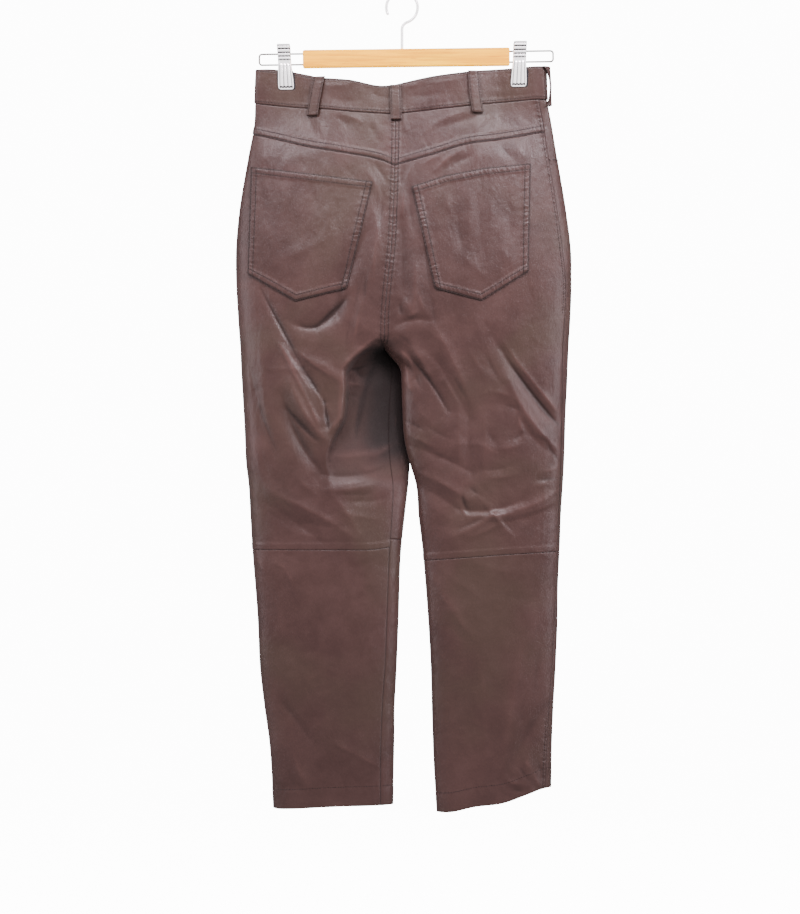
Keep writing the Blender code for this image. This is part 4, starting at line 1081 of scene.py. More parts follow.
def patch_piece(node, half, outline, side, edges, group):
    """A patch laid on a panel. The outline gives its mouth's points, then its foot's, each from left."""
    mouth, foot = (np.array(line) for line in outline)
    runs = [run_length(line[None], 1)[0] for line in (mouth, foot)]
    u = stations(runs[0][-1], PATCH_STEP)
    v = stations(float(mouth[:, 1].mean() - foot[:, 1].mean()), PATCH_STEP)[:, None]
    mouth_shares, foot_shares = (run / run[-1] for run in runs)
    if len(foot) == 3:
        u[np.abs(u - foot_shares[1]).argmin()] = foot_shares[1]
    x, z = (blend(np.interp(u, mouth_shares, mouth[:, axis]), np.interp(u, foot_shares, foot[:, axis]), v)
            for axis in (0, 1))
    s = s_on_face(half, x, z, side)
    leather_piece(node, half, s, z, edges, group, LIFT + POCKET, POCKET, PATCH_GATHER)


def belt_loop_piece(node, half, s_top, s_foot, above, below, bulge):
    """A folded strip that stands off the waistband and is sewn down at both ends."""
    share = stations(LOOP_LENGTH, 0.0016)[:, None]
    across = np.linspace(-0.5, 0.5, 15)
    centre = blend(s_top, s_foot, share)
    top = LINES[half]("top", centre) + above
    foot = LINES[half]("band", centre) - below
    s, z = centre + across * LOOP_WIDTH / FACE_WIDTH, blend(top, foot, share)
    points, normals = skin_and_normals(half, s, z)
    away = unit(normals.mean(axis=1, keepdims=True))
    clear = ((bulge - LOOP_STAND) * np.sin(math.pi * share) ** 0.5)[..., None]
    chord = unit(points[:, -1:] - points[:, :1])
    strip = points.mean(axis=1, keepdims=True) + chord * across[:, None] * LOOP_WIDTH
    free = (np.sin(math.pi * share) ** 0.5)[..., None] * min(1, bulge / LOOP_FREE)
    base = blend(points + normals * (LOOP_STAND + LIFT + 0.0006), strip + away * (LOOP_STAND + 0.001), free)
    base = base + away * clear
    normals = blend(normals, away, free)
    side = (0.5 - np.abs(across)) * LOOP_WIDTH
    fall, near = LOOP_ROUND
    deep, row, wide = LOOP_ROW
    thick, long = LOOP_ENDS
    crown = POCKET + fall * (1 - np.exp(-(side / near) ** 2))
    crown = crown - deep * np.exp(-((side - row) / wide) ** 2)
    ends = sum(np.exp(-(far * LOOP_LENGTH / long) ** 2) for far in (1 - share, share))
    outer = base + normals * (crown + thick * ends)[..., None]
    run = run_length(outer, 0)
    edges = {"start": "turned", "end": "turned"}
    fields = {"seam_band": np.full(run.shape, 0.4), "seam_run": run}
    sew(node, "loops", (outer, base), base, normals, from_sides(run_length(outer, 1), run), edges, fields)


def stitch_rows(name, lines, finish):
    """Rows of stitches as one mesh: short threads end to end, each sunk a little into the leather."""
    settings = bpy.context.scene.trousers_stitches
    pitch, length, thick = settings.pitch, settings.length, settings.thickness
    # The corners of a thread's section, then its fatness from end to end.
    ring = ((0, 1), (1, 0), (0, -0.6), (-1, 0))
    sections = ((-0.5, 0.15), (-0.32, 0.8), (0, 1.0), (0.32, 0.8), (0.5, 0.15))
    threads = []
    for path, normals in lines:
        run = run_length(path[None], 1)[0]
        places = np.arange(pitch / 2, run[-1] - pitch / 2, pitch)
        if not len(places):
            continue
        spot, ahead, up = (
            np.stack([np.interp(where, run, line[:, axis]) for axis in range(3)], axis=-1)
            for where, line in ((places, path), (places + pitch / 3, path), (places, normals)))
        way = unit(ahead - spot)
        beside = unit(np.cross(way, up))
        corners = [spot + way * share * length + beside * wide * thick / 2 * fat
                   + up * (tall * thick / 2 * fat + THREAD_RISE)
                   for share, fat in sections for wide, tall in ring]
        threads.append(np.stack(corners, axis=1).reshape(-1, 3))
    points, per = np.concatenate(threads), len(sections) * len(ring)
    quads = [(3, 2, 1, 0), (per - 4, per - 3, per - 2, per - 1)]
    for low in range(0, per - 4, 4):
        quads += [(low + a, low + b, low + b + 4, low + a + 4) for a, b in ((0, 1), (1, 2), (2, 3), (3, 0))]
    first = np.arange(0, len(points), per)[:, None]
    mesh = bpy.data.meshes.new(name)
    mesh.from_pydata(points, [], np.concatenate([first + np.array(quad) for quad in quads]).tolist())
    mesh.shade_smooth()
    return add_piece(name, mesh, finish, "leather")


# ---------------------------------------------------------------- finishes

class Value:
    """A socket of a finish's nodes. Arithmetic on it adds the Math nodes that work it out."""

    def __init__(self, finish, socket):
        self.finish, self.socket = finish, socket

    def math(self, operation, *values):
        return self.finish.node("Math", {"operation": operation}, dict(enumerate(values)))

    def __add__(self, other):
        return self.math("ADD", self, other)

    def __sub__(self, other):
        return self.math("SUBTRACT", self, other)

    def __rsub__(self, other):
        return self.math("SUBTRACT", other, self)

    def __mul__(self, other):
        return self.math("MULTIPLY", self, other)

    __radd__, __rmul__ = __add__, __mul__


class Finish:
    """A procedural material over the object's own coordinates."""

    def __init__(self, name, constants):
        self.material = bpy.data.materials.new(name)
        self.material.use_nodes = True
        self.tree = self.material.node_tree
        self.surface = self.tree.nodes["Principled BSDF"]
        for label, value in constants.items():
            self.surface.inputs[label].default_value = value
        self.place = self.node("TexCoord", out="Object")

    def node(self, kind, settings=None, sockets=None, out=0):
        """Adds a node: its settings are set first, then its sockets take values or links."""
        node = self.tree.nodes.new("ShaderNode" + kind)
        for label, value in (settings or {}).items():
            setattr(node, label, value)
        for label, value in (sockets or {}).items():
            if isinstance(value, Value):
                self.tree.links.new(value.socket, node.inputs[label])
            else:
                node.inputs[label].default_value = value
        return Value(self, node.outputs[out])

    def noise(self, scale, detail=2.0, roughness=0.5, distortion=0.0, place=None):
        sockets = {"Vector": place or self.place, "Scale": scale, "Detail": detail,
                   "Roughness": roughness, "Distortion": distortion}
        return self.node("TexNoise", {}, sockets)

    def cells(self, scale, feature="F1", place=None):
        sockets = {"Vector": place or self.place, "Scale": scale}
        return self.node("TexVoronoi", {"feature": feature}, sockets, "Distance")

    def ramp(self, value, low, high, start=0.0, end=1.0):
        """Runs softly from start to end as a value goes from low to high."""
        sockets = {"Value": value, "From Min": low, "From Max": high, "To Min": start, "To Max": end}
        return self.node("MapRange", {"interpolation_type": "SMOOTHSTEP"}, sockets)

    def mix(self, share, low, high):
        """A colour between two colours."""
        low, high = (colour if isinstance(colour, Value) else (*colour, 1) for colour in (low, high))
        return self.node("Mix", {"data_type": "RGBA"}, {0: share, 6: low, 7: high}, 2)

    def stretched(self, *scale):
        """The object's coordinates, scaled on each axis."""
        return self.node("VectorMath", {"operation": "MULTIPLY"}, {0: self.place, 1: scale})

    def attribute(self, label):
        return self.node("Attribute", {"attribute_name": label}, out="Fac")

    def bump(self, height, distance, strength, under=None):
        sockets = {"Height": height, "Distance": distance, "Strength": strength}
        if under:
            sockets["Normal"] = under
        return self.node("Bump", {}, sockets)

    def wear(self, **signals):
        """Links what changes over the surface to the shader's own sockets."""
        for label, value in signals.items():
            socket = self.surface.inputs[label.replace("_", " ").title()]
            self.tree.links.new(value.socket, socket)
        return self.material


def scaled(colour, share):
    """A colour made darker, or brighter by more than 1."""
    return tuple(part * share for part in colour)


@functools.cache
def leather_finish():
    """Brown nappa with a satin face: fine pebbled grain, cloudy dye and seam puckers, with painted shade in
    its troughs, creases, hollow and towards the bottom, and painted highlights on its crests.
    """
    settings = bpy.context.scene.trousers_leather
    leather = Finish("leather", {"Specular IOR Level": 0.5, "Sheen Weight": 0.05, "Sheen Roughness": 0.5})
    cloud = leather.noise(7.0, 3.0, 0.55, 0.4)
    patch = leather.noise(38.0, 4.0, 0.6, 0.3)
    speck = leather.noise(420.0, 2.0, 0.6)
    fine = leather.noise(settings.grain_scale * 1.9, 3.0, 0.6)
    height = leather.node("SeparateXYZ", {}, {0: leather.place}, 2)
    rubbed, creased, sunk = (leather.attribute(label) for label in ("rubbed", "creased", "sunk"))
    line, band, run = (leather.attribute("seam_" + label) for label in ("line", "band", "run"))

    # The dye: clouds of dark, light and warm brown; then painted shade towards the bottom, in the troughs of
    # folds and creases and in the hollow, painted highlights on their crests, a little darker along the
    # seams, and the seams' dark lines.
    dark, light, warm = tuple(settings.dark), tuple(settings.light), tuple(settings.warm)
    tone = leather.ramp(cloud, 0.30, 0.70) * 0.5 + leather.ramp(patch, 0.3, 0.7) * 0.32 + speck * 0.18
    colour = leather.mix(tone, dark, light)
    for share, dye in (
        (leather.ramp(leather.noise(6.0, 3.0, 0.55, 0.3), 0.42, 0.66) * 0.85, warm),
        # painted shade: darker towards the bottom, where the light falls off
        (leather.ramp(height, -0.62, -0.98) * 0.28, dark),
        # painted shade in the troughs of the folds
        (leather.ramp(rubbed, -0.2, -1.2) * 0.35, scaled(dark, 0.4)),
        # painted shade in the troughs of the creases, painted highlight on their crests
        (leather.ramp(creased, -0.25, -1.3) * 0.6, scaled(dark, 0.3)),
        (leather.ramp(creased, 0.3, 1.2) * 0.3, scaled(light, 1.6)),
        # painted shade in the hollow under the seat
        (leather.ramp(sunk, 0.0, 1.0) * 0.93, scaled(dark, 0.15)),
        # painted highlight on the crests of the folds
        (leather.ramp(rubbed, 0.1, 0.9) * 0.25, scaled(light, 1.4)),
        (0.12 * band, dark),
        (line * 0.85, scaled(dark, 0.25)),
    ):
        colour = leather.mix(share, colour, dye)
    rough = settings.roughness + leather.ramp(sunk, 0.0, 0.2) * 0.42
    rough = rough + (patch - 0.5) * 0.16 + (fine - 0.5) * 0.08 + line * 0.3

    # The surface: pebbled grain, soft unevenness, hairline cracks, and puckers beside the seams.
    pit = leather.ramp(leather.cells(settings.grain_scale), 0.0, 0.5)
    uneven = leather.noise(120.0, 3.0, 0.55)
    drape = leather.noise(34.0, 3.0, 0.5, 0.4, leather.stretched(1.0, 1.0, 0.5))
    cracks = leather.cells(60.0, "DISTANCE_TO_EDGE", leather.stretched(1.0, 1.0, 0.55))
    wander = leather.noise(120.0, 2.0, 0.5) * 9.0
    wave = leather.node("Math", {"operation": "SINE"}, {0: run * (2 * math.pi / PUCKER) + wander})
    pucker = wave * leather.ramp(leather.noise(34.0, 2.0, 0.5), 0.34, 0.62, 0.15, 1.0)
    normal = None
    for relief_height, distance, strength in (
        (pit * 0.7 + fine * 0.5, 0.00022, settings.grain),
        (uneven, 0.0010, 0.35),
        (drape, 0.0040, 0.46),
        (leather.ramp(cracks, 0.0, 0.05), 0.00035, 0.10),
        (pucker * band, 0.0004, 0.30),
    ):
        normal = leather.bump(relief_height, distance, strength, normal)
    return leather.wear(base_color=colour, roughness=rough, normal=normal)


def speckled(name, constants, noise, colours, rough, bump):
    """A finish whose colour, roughness and surface all follow one fine noise."""
    finish = Finish(name, constants)
    speck = finish.noise(*noise)
    return finish.wear(base_color=finish.mix(speck, *colours), roughness=rough[0] + speck * rough[1],
                       normal=finish.bump(speck, *bump))


@functools.cache
def thread_finish():
    """Dark brown waxed thread, twisted."""
    colour = tuple(bpy.context.scene.trousers_stitches.colour)
    return speckled("thread", {"Specular IOR Level": 0.4}, (900.0, 2.0, 0.6),
                    (colour, scaled(colour, 1.8)), (0.5, 0.2), (0.0001, 0.5))


@functools.cache
def glowing_wood():
    """Pale beech under a thin matt varnish, the grain along its length. It glows in its own colour, a
    painted light that brightens it.
    """
    # painted light: the wood glows in its own colour
    wood = Finish("wood", {"Specular IOR Level": 0.2, "Emission Strength": 2.1})
    rings = wood.noise(26.0, 4.0, 0.6, 0.8, wood.stretched(0.09, 1.0, 1.0))
    lines = wood.noise(310.0, 3.0, 0.65, 0.2, wood.stretched(0.035, 1.0, 1.0))
    flecks = wood.ramp(wood.noise(700.0, 1.0, 0.5, 0.0, wood.stretched(0.06, 1.0, 1.0)), 0.62, 0.74)
    colour = wood.mix(wood.ramp(rings, 0.3, 0.7), (0.96, 0.40, 0.0), (1.0, 0.54, 0.002))
    colour = wood.mix(wood.ramp(lines, 0.36, 0.62) * 0.7, colour, (0.66, 0.25, 0.0))
    colour = wood.mix(flecks * 0.5, colour, (0.36, 0.11, 0.01))
    rough = 0.42 + lines * 0.16
    normal = wood.bump(lines, 0.0002, 0.35)
    return wood.wear(base_color=colour, emission_color=colour, roughness=rough, normal=normal)


@functools.cache
def glowing_steel():
    """Bright plated steel with faint handling marks. It glows in its own colour, a painted light that
    whitens it, and its shade attribute paints dark shade into it.
    """
    # painted light: the steel glows in its own colour
    steel = Finish("steel", {"Metallic": 1.0, "Emission Strength": 2.4})
    smear = steel.noise(55.0, 3.0, 0.6)
    scratch = steel.noise(900.0, 2.0, 0.6, 0.0, steel.stretched(1.0, 1.0, 0.08))
    colour = steel.mix(smear, (0.86, 0.82, 0.83), (0.97, 0.93, 0.94))
    # painted shade from the clip's shade attribute
    colour = steel.mix(steel.attribute("shade"), colour, (0.012, 0.010, 0.011))
    rough = 0.16 + smear * 0.10 + scratch * 0.08
    normal = steel.bump(scratch, 0.00005, 0.4)
    return steel.wear(base_color=colour, emission_color=colour, roughness=rough, normal=normal)


@functools.cache
def wire_finish():
    """Duller, slightly browned steel wire."""
    return speckled("wire", {"Metallic": 1.0}, (200.0, 3.0, 0.6),
                    ((0.13, 0.105, 0.095), (0.30, 0.25, 0.225)), (0.28, 0.15), (0.0001, 0.3))


@functools.cache
def pads_and_painted_shadow():
    """Dark grip pads inside the clip's jaws. Their rims, which stand out past the plates, are a painted
    shadow of the clip on the leather.
    """
    return speckled("grip pad", {"Specular IOR Level": 0.35}, (600.0, 3.0, 0.6),
                    ((0.012, 0.012, 0.014), (0.035, 0.034, 0.036)), (0.62, 0.2), (0.0002, 0.6))


@functools.cache
def button_finish():
    """Dull dark metal, smeared by handling."""
    return speckled("button metal", {"Metallic": 1.0}, (300.0, 3.0, 0.6),
                    ((0.16, 0.13, 0.11), (0.30, 0.25, 0.21)), (0.3, 0.2), (0.0001, 0.3))


@functools.cache
def floor_finish():
    """Plain pale floor and backdrop, lit until they are nearly white."""
    floor = Finish("studio white", {"Specular IOR Level": 0.1, "Emission Strength": 14.0})
    speck = floor.noise(3.0, 3.0, 0.5)
    colour = floor.mix(speck, (0.90, 0.90, 0.90), (0.93, 0.93, 0.93))
    return floor.wear(base_color=colour, roughness=0.8 + speck * 0.1, emission_color=colour)


# ---------------------------------------------------------------- hanger and fastenings

def arc(centre, radius, start, end, count):
    """Points of an arc in the plane of X and Z."""
    angles = np.radians(np.linspace(start, end, count))
    return [(centre[0] + radius * math.cos(a), 0.0, centre[1] + radius * math.sin(a)) for a in angles]


def closed_mesh(name, rings):
    """A closed mesh through rings of points. A ring that is all one point becomes that point."""
    count, around = rings.shape[:2]
    index = np.arange(count * around).reshape(count, around)
    after = np.roll(index, -1, axis=1)
    faces = np.stack([index[:-1], after[:-1], after[1:], index[1:]], axis=-1).reshape(-1, 4).tolist()
    faces += [index[0, ::-1].tolist(), index[-1].tolist()]
    mesh = bpy.data.meshes.new(name)
    mesh.from_pydata(rings.reshape(-1, 3), [], faces)
    work = bmesh.new()
    work.from_mesh(mesh)
    bmesh.ops.remove_doubles(work, verts=work.verts, dist=1e-6)
    bmesh.ops.recalc_face_normals(work, faces=work.faces)
    work.to_mesh(mesh)
    work.free()
    mesh.shade_smooth()
    return mesh


def wire_mesh(name, path, radius, around=14):
    """A round wire along a path, domed at both ends."""
    path = np.array(path, float)
    way = unit(np.gradient(path, axis=0))
    side = unit(np.cross(way, (0.0, 1.0, 0.0001)))
    over = np.cross(side, way)
    turns = np.linspace(0, 2 * math.pi, around, endpoint=False)
    ring = np.cos(turns)[:, None, None] * side + np.sin(turns)[:, None, None] * over
    points = (path + radius * ring).transpose(1, 0, 2)
    ends = [points[:1] * 0.4 + path[0] * 0.6 - way[0] * radius * 0.7,
            points[-1:] * 0.4 + path[-1] * 0.6 + way[-1] * radius * 0.7]
    return closed_mesh(name, np.concatenate([ends[0], points, ends[1]]))


def on_bar(points):
    """Places given along the tilted bar, in the garment's own coordinates."""
    points = np.array(points, float)
    cos, sin = math.cos(BAR_TILT), math.sin(BAR_TILT)
    x, z = points[..., 0] * cos - points[..., 2] * sin, points[..., 0] * sin + points[..., 2] * cos
    return np.stack([x + BAR_CENTRE[0], points[..., 1] + BAR_CENTRE[1], z + BAR_CENTRE[2]], axis=-1)


def make_hook():
    """A stem that bends over into a round hook whose inside top is at the origin."""
    centre = HOOK_WIRE - HOOK_ROUND
    join = math.degrees(math.asin(HOOK_BEND / (HOOK_ROUND + HOOK_BEND)))
    drop = math.sqrt((HOOK_ROUND + HOOK_BEND) ** 2 - HOOK_BEND ** 2)
    foot = BAR_CENTRE[2] + BAR[2] / 2 + SEAM_GAP + 0.0002
    path = [(0, 0, z) for z in np.linspace(foot, centre - drop, 8)[:-1]]
    path += arc((HOOK_BEND, centre - drop), HOOK_BEND, 180, 90 + join, 16)
    path += arc((0, centre), HOOK_ROUND, join - 90, 205, 72)[1:]
    add_piece("hook", wire_mesh("hook", path, HOOK_WIRE, 20), glowing_steel(), "steel", "hanger_hook")


def make_wire_loops():
    """The wire loops at the bar's ends, which carry the clips."""
    start, corner = BAR[0] / 2 + SEAM_GAP, 0.0035
    turn = LOOP_REACH - corner
    for name, side in (("left", -1), ("right", 1)):
        path = [(x, 0, LOOP_RISE) for x in np.linspace(start, turn, 12)[:-1]]
        path += arc((turn, LOOP_RISE - corner), corner, 90, 0, 14)
        path += arc((turn, corner - LOOP_RISE), corner, 0, -90, 14)
        path += [(x, 0, -LOOP_RISE) for x in np.linspace(turn, start, 12)[1:]]
        path = on_bar([(side * x, y, z) for x, y, z in path])
        mesh = wire_mesh(f"wire_loop_{name}", path, LOOP_WIRE)
        add_piece(f"wire_loop_{name}", mesh, wire_finish(), "steel", f"hanger_loop_{name}")


def make_bar():
    """The wooden bar, its long edges rounded and its ends softened."""
    work = bmesh.new()
    bmesh.ops.create_cube(work, size=1)
    bmesh.ops.scale(work, vec=BAR, verts=work.verts)
    bmesh.ops.bevel(work, geom=work.edges[:], offset=BAR_ROUND, segments=5, affect="EDGES", profile=0.5)
    bmesh.ops.subdivide_edges(work, edges=[e for e in work.edges if e.calc_length() > BAR[0] / 2], cuts=40)
    mesh = bpy.data.meshes.new("bar")
    work.to_mesh(mesh)
    work.free()
    points = on_bar([vert.co for vert in mesh.vertices])
    mesh.vertices.foreach_set("co", points.ravel())
    mesh.shade_smooth()
    mesh.set_sharp_from_angle(angle=math.radians(40))
    add_piece("bar", mesh, glowing_wood(), "wood", "hanger_bar")


# A clip's plate seen from its end: the middle of the plate, down from the finger end to the jaw.
CLIP_PROFILE = Table(
    "height depth", TENTHS,
    (186, 100),
    (120, 86),
    (50, 56),
    (0, 50),
    (-180, 52),
    (-330, 49),
    (-388, 47),
)
CLIP_TOP, CLIP_FOOT = 0.0186, -0.0388
CLIP_LEANS = (0.0030, -0.0028)            # how far each clip's jaw stands to the right of its finger end
CLIP_WIDTHS = (0.0166, 0.0205)            # at the finger end and at the jaw
GRIP_TOP, GRIP_RIDGE = 0.0148, 0.0045     # the topmost grip ridge, and from one ridge to the next
GRIP_START, GRIP_RISE = (-0.0035, 0.0), 0.0009    # where the ridges fade in, and their height
FLUTES, FLUTE_RISE = 4, 0.0006            # pressed into the jaw, side by side
FLUTE_TOP, FLUTE_FOOT = (-0.0080, -0.0050), (-0.0375, -0.0330)
SIDE_FOLD = 0.0022                        # how far a plate's sides are folded back
SCALLOP_HEIGHT, SCALLOP_RISE, SCALLOPS = -0.0364, 0.0007, 5    # along the jaw's foot
# The pads reach past the plates, most to the right and below, as a painted shadow of the clip.
PAD_TOP, PAD_FOOT = -0.0120, CLIP_FOOT - 0.0012
PAD_WIDTHS = (0.0160, 0.0222)             # at the pad's top and at its foot
PAD_THICK = 0.0012
COIL_LENGTH, COIL_RADIUS, COIL_WIRE = 0.010, 0.0032, 0.0006


def rounded(z, foot, radius):
    """1 over a plate's length, narrowing round its corners at the foot."""
    near = np.clip(1 - (z - foot) / radius, 0, 1)
    return 1 - (1 - np.sqrt(1 - near ** 2)) * radius / 0.0100


def clip_wall(name, place, side, x, depths, z, fields, finish, *nodes):
    """A wall of a clip between two depths, on the side of the garment that it grips."""
    grids = [on_bar(np.stack([place + x, side * depth + 0 * x, z + 0 * x], axis=-1)) for depth in depths]
    add_piece(name, grid_mesh(name, *grids, fields), finish, "steel", *nodes)


def make_clip_plate(name, node, place, lean, side):
    """A pressed plate with grip ridges across its finger end and flutes down its jaw."""
    across, z = np.linspace(-0.5, 0.5, 43), np.linspace(CLIP_TOP, CLIP_FOOT, 134)[:, None]
    share = (CLIP_TOP - z) / (CLIP_TOP - CLIP_FOOT)
    width = blend(*CLIP_WIDTHS, smooth(0.3, 0.95, share))
    x = across * width * rounded(z, CLIP_FOOT, 0.0028) + lean * (share - 0.5)
    off = np.abs(across)
    grip = smooth(*GRIP_START, z) * smooth(0.0, 0.0012, 0.0178 - z)
    ridge = 0.5 + 0.5 * np.cos((z - GRIP_TOP) * 2 * math.pi / GRIP_RIDGE)
    flute = 0.5 + 0.5 * np.cos(across * 2 * math.pi * FLUTES)
    low = 1 - smooth(*FLUTE_TOP, z)
    press = grip * ridge ** 1.5 * GRIP_RISE + low * flute * smooth(*FLUTE_FOOT, z) * FLUTE_RISE
    middle = CLIP_PROFILE("depth", z) - SIDE_FOLD * smooth(0.40, 0.5, off) ** 2
    depths = middle + CLIP_PLATE / 2 + press, middle - CLIP_PLATE / 2 + press * 0.6
    # The shade lies in the flutes, between the ridges, along the sides and in the jaw's scalloped edge.
    lines = smooth(0.62, 1.0, 1 - flute) * low * smooth(-0.0375, -0.0350, z)
    turn = np.where(np.sin((z - GRIP_TOP) * math.pi / GRIP_RIDGE) > 0, 0, 1.6)
    dots = 0.5 + 0.5 * np.cos(across * 2 * math.pi * FLUTES + turn)
    bars = smooth(0.40, 0.85, 1 - ridge) * grip * (0.6 + 0.4 * dots)
    step = np.abs(z - SCALLOP_HEIGHT - SCALLOP_RISE * np.abs(np.sin(across * math.pi * SCALLOPS)))
    scallop = (1 - smooth(0.0007, 0.0014, step)) * (1 - smooth(0.40, 0.44, off))
    rim = smooth(0.465, 0.5, off) + 0 * z
    shade = np.clip(0.75 * lines + 1.5 * bars + 0.6 * rim + 1.3 * scallop, 0, 1)
    clip_wall(name, place, side, x, depths, z, {"shade": shade}, glowing_steel(), node)


def make_pad_and_shadow(name, place, lean, side):
    """A dark grip pad between a plate and the leather. It is wider than the plate and set to the right and
    below it, so that its rim paints the clip's shadow.
    """
    across, z = np.linspace(-0.5, 0.5, 8), np.linspace(PAD_TOP, PAD_FOOT, 60)[:, None]
    width = blend(*PAD_WIDTHS, smooth(-0.0125, -0.0200, z))
    share = (CLIP_TOP - z) / (CLIP_TOP - CLIP_FOOT)
    x = across * width * rounded(z, PAD_FOOT, 0.0034) + lean * (share - 0.5) + 0.0006
    outer = CLIP_PROFILE("depth", z) - CLIP_PLATE / 2 - 0.0001
    clip_wall(name, place, side, x, (outer, outer - PAD_THICK), z, {}, pads_and_painted_shadow())


def make_clip(name, place, lean):
    """A sprung clip: two pressed plates, their dark pads, whose rims paint the clip's shadow, and a coil
    between.
    """
    for plate, side in (("front", -1), ("rear", 1)):
        ends = f"{name}_{plate}"
        make_clip_plate(f"clip_plate_{ends}", f"clip_{ends}", place, lean, side)
        make_pad_and_shadow(f"clip_pad_and_shadow_{ends}", place, lean, side)
    turns = np.linspace(0, 2 * math.pi * 5.5, 200)
    along = place + COIL_LENGTH * (turns / turns[-1] - 0.5)
    coil = np.stack([along, COIL_RADIUS * np.cos(turns), COIL_RADIUS * np.sin(turns)], axis=-1)
    mesh = wire_mesh(f"clip_coil_{name}", on_bar(coil), COIL_WIRE, 8)
    add_piece(f"clip_coil_{name}", mesh, glowing_steel(), "steel", f"clip_{name}_spring")


BUTTON_PLACE = (1.93, -0.1465)            # s and height


def make_button():
    """A dished metal button with a raised rim, over the place where the waistband's ends meet."""
    points, normals = skin_and_normals("right", *np.array(BUTTON_PLACE)[:, None])
    # How far each ring of the button lies from its middle and above the band, from its back round.
    profile = ((0.0, -0.0015), (0.0080, -0.0015), (0.0086, -0.0010), (0.0087, 0.0000), (0.0083, 0.0010),
               (0.0074, 0.0016), (0.0064, 0.0015), (0.0056, 0.0009), (0.0030, 0.0007), (0.0, 0.0007))
    turns = np.linspace(0, 2 * math.pi, 48, endpoint=False)
    rings = np.array([[(r * math.cos(t), r * math.sin(t), h) for t in turns] for r, h in profile])
    turn = Vector(normals[0]).to_track_quat("Z", "Y").to_matrix()
    middle = points[0] + normals[0] * (BAND_PROUD + 0.0015 + 2 * LIFT)
    mesh = closed_mesh("button", rings @ np.array(turn).T + middle)
    add_piece("button", mesh, button_finish(), "steel", "waist_button")


# ---------------------------------------------------------------- studio

VIEW_HEIGHT = 1.17                        # what the camera takes in at the garment
VIEW_CENTRE = (-0.00256, -0.5935)         # across and up
LIT_PLACE = (0, 0, -0.45)                 # where every lamp points
LAMP_COLOUR = (1.0, 0.90, 0.965)
SURROUND_COLOUR = (0.93, 0.96, 1.0, 1)


def make_studio():
    """A pale floor and backdrop that only the camera sees, large soft lamps and the camera."""
    scene, settings = bpy.context.scene, bpy.context.scene.trousers_studio
    screens = (("studio_floor", (0, 0, -1.5), 0), ("studio_backdrop", (0, 10, 6), math.pi / 2))
    for name, place, turn in screens:
        mesh = bpy.data.meshes.new(name)
        work = bmesh.new()
        bmesh.ops.create_grid(work, x_segments=8, y_segments=8, size=12)
        work.to_mesh(mesh)
        work.free()
        screen = bpy.data.objects.new(name, mesh)
        screen.location, screen.rotation_euler.x = place, turn
        screen.visible_diffuse = screen.visible_glossy = False
        mesh.materials.append(floor_finish())
        scene.collection.objects.link(screen)

    world = bpy.data.worlds.new("studio light")
    world.use_nodes = True
    world.node_tree.nodes["Background"].inputs["Color"].default_value = SURROUND_COLOUR
    world.node_tree.nodes["Background"].inputs["Strength"].default_value = settings.surround
    scene.world = world
    lamps = (
        # name, place, width and height, share of the key's power
        ("key light", (0.1, -1.7, 1.5), (0.6, 0.6), 0.42),
        ("left key light", (-0.95, -1.6, 1.1), (0.6, 0.6), 0.44),
        ("right key light", (1.05, -1.6, 1.0), (0.6, 0.6), 0.62),
        ("side light", (2.0, -1.1, -0.1), (0.6, 1.6), 0.36),
        ("edge light", (-2.1, -0.9, -0.1), (0.6, 1.6), 0.26),
        ("rear light", (0.4, 2.6, 0.5), (1.6, 1.6), 0.9),
    )
    for name, place, size, share in lamps:
        lamp = bpy.data.lights.new(name, "AREA")
        lamp.shape, lamp.size, lamp.size_y = "RECTANGLE", *size
        lamp.energy = settings.key * share
        lamp.color = LAMP_COLOUR
        made = bpy.data.objects.new(name, lamp)
        made.location = place
        made.rotation_euler = (Vector(LIT_PLACE) - Vector(place)).to_track_quat("-Z", "Y").to_euler()
        scene.collection.objects.link(made)
    camera = bpy.data.cameras.new("camera")
    camera.sensor_fit, camera.sensor_height = "VERTICAL", 36
    camera.lens = camera.sensor_height * settings.distance / VIEW_HEIGHT
    eye = bpy.data.objects.new("camera", camera)
    eye.location = (VIEW_CENTRE[0], -settings.distance, VIEW_CENTRE[1])
    eye.rotation_euler = (math.pi / 2, 0, 0)
    scene.collection.objects.link(eye)
    scene.camera = eye


# ---------------------------------------------------------------- add-on

class LeatherSettings(bpy.types.PropertyGroup):
    """The leather's colour, grain and gloss."""
    dark: FloatVectorProperty(name="Dark dye", description="Colour of the leather where the dye is deepest",
                              default=(0.058, 0.0265, 0.0225), size=3, min=0, max=1, subtype="COLOR")
    light: FloatVectorProperty(name="Light dye", description="Colour of the leather where it is thinnest",
                               default=(0.110, 0.054, 0.046), size=3, min=0, max=1, subtype="COLOR")
    warm: FloatVectorProperty(name="Warm dye", description="Colour of the browner clouds in the dye",
                              default=(0.082, 0.0485, 0.035), size=3, min=0, max=1, subtype="COLOR")
    roughness: FloatProperty(name="Roughness", description="Roughness of the satin face",
                             default=0.38, min=0, max=1, subtype="FACTOR")
    grain: FloatProperty(name="Grain", description="How strongly the pebbled grain shows",
                         default=0.55, min=0, max=1, subtype="FACTOR")
    grain_scale: FloatProperty(name="Grain density", description="Grain cells to the metre",
                               default=820.0, min=100, max=3000)


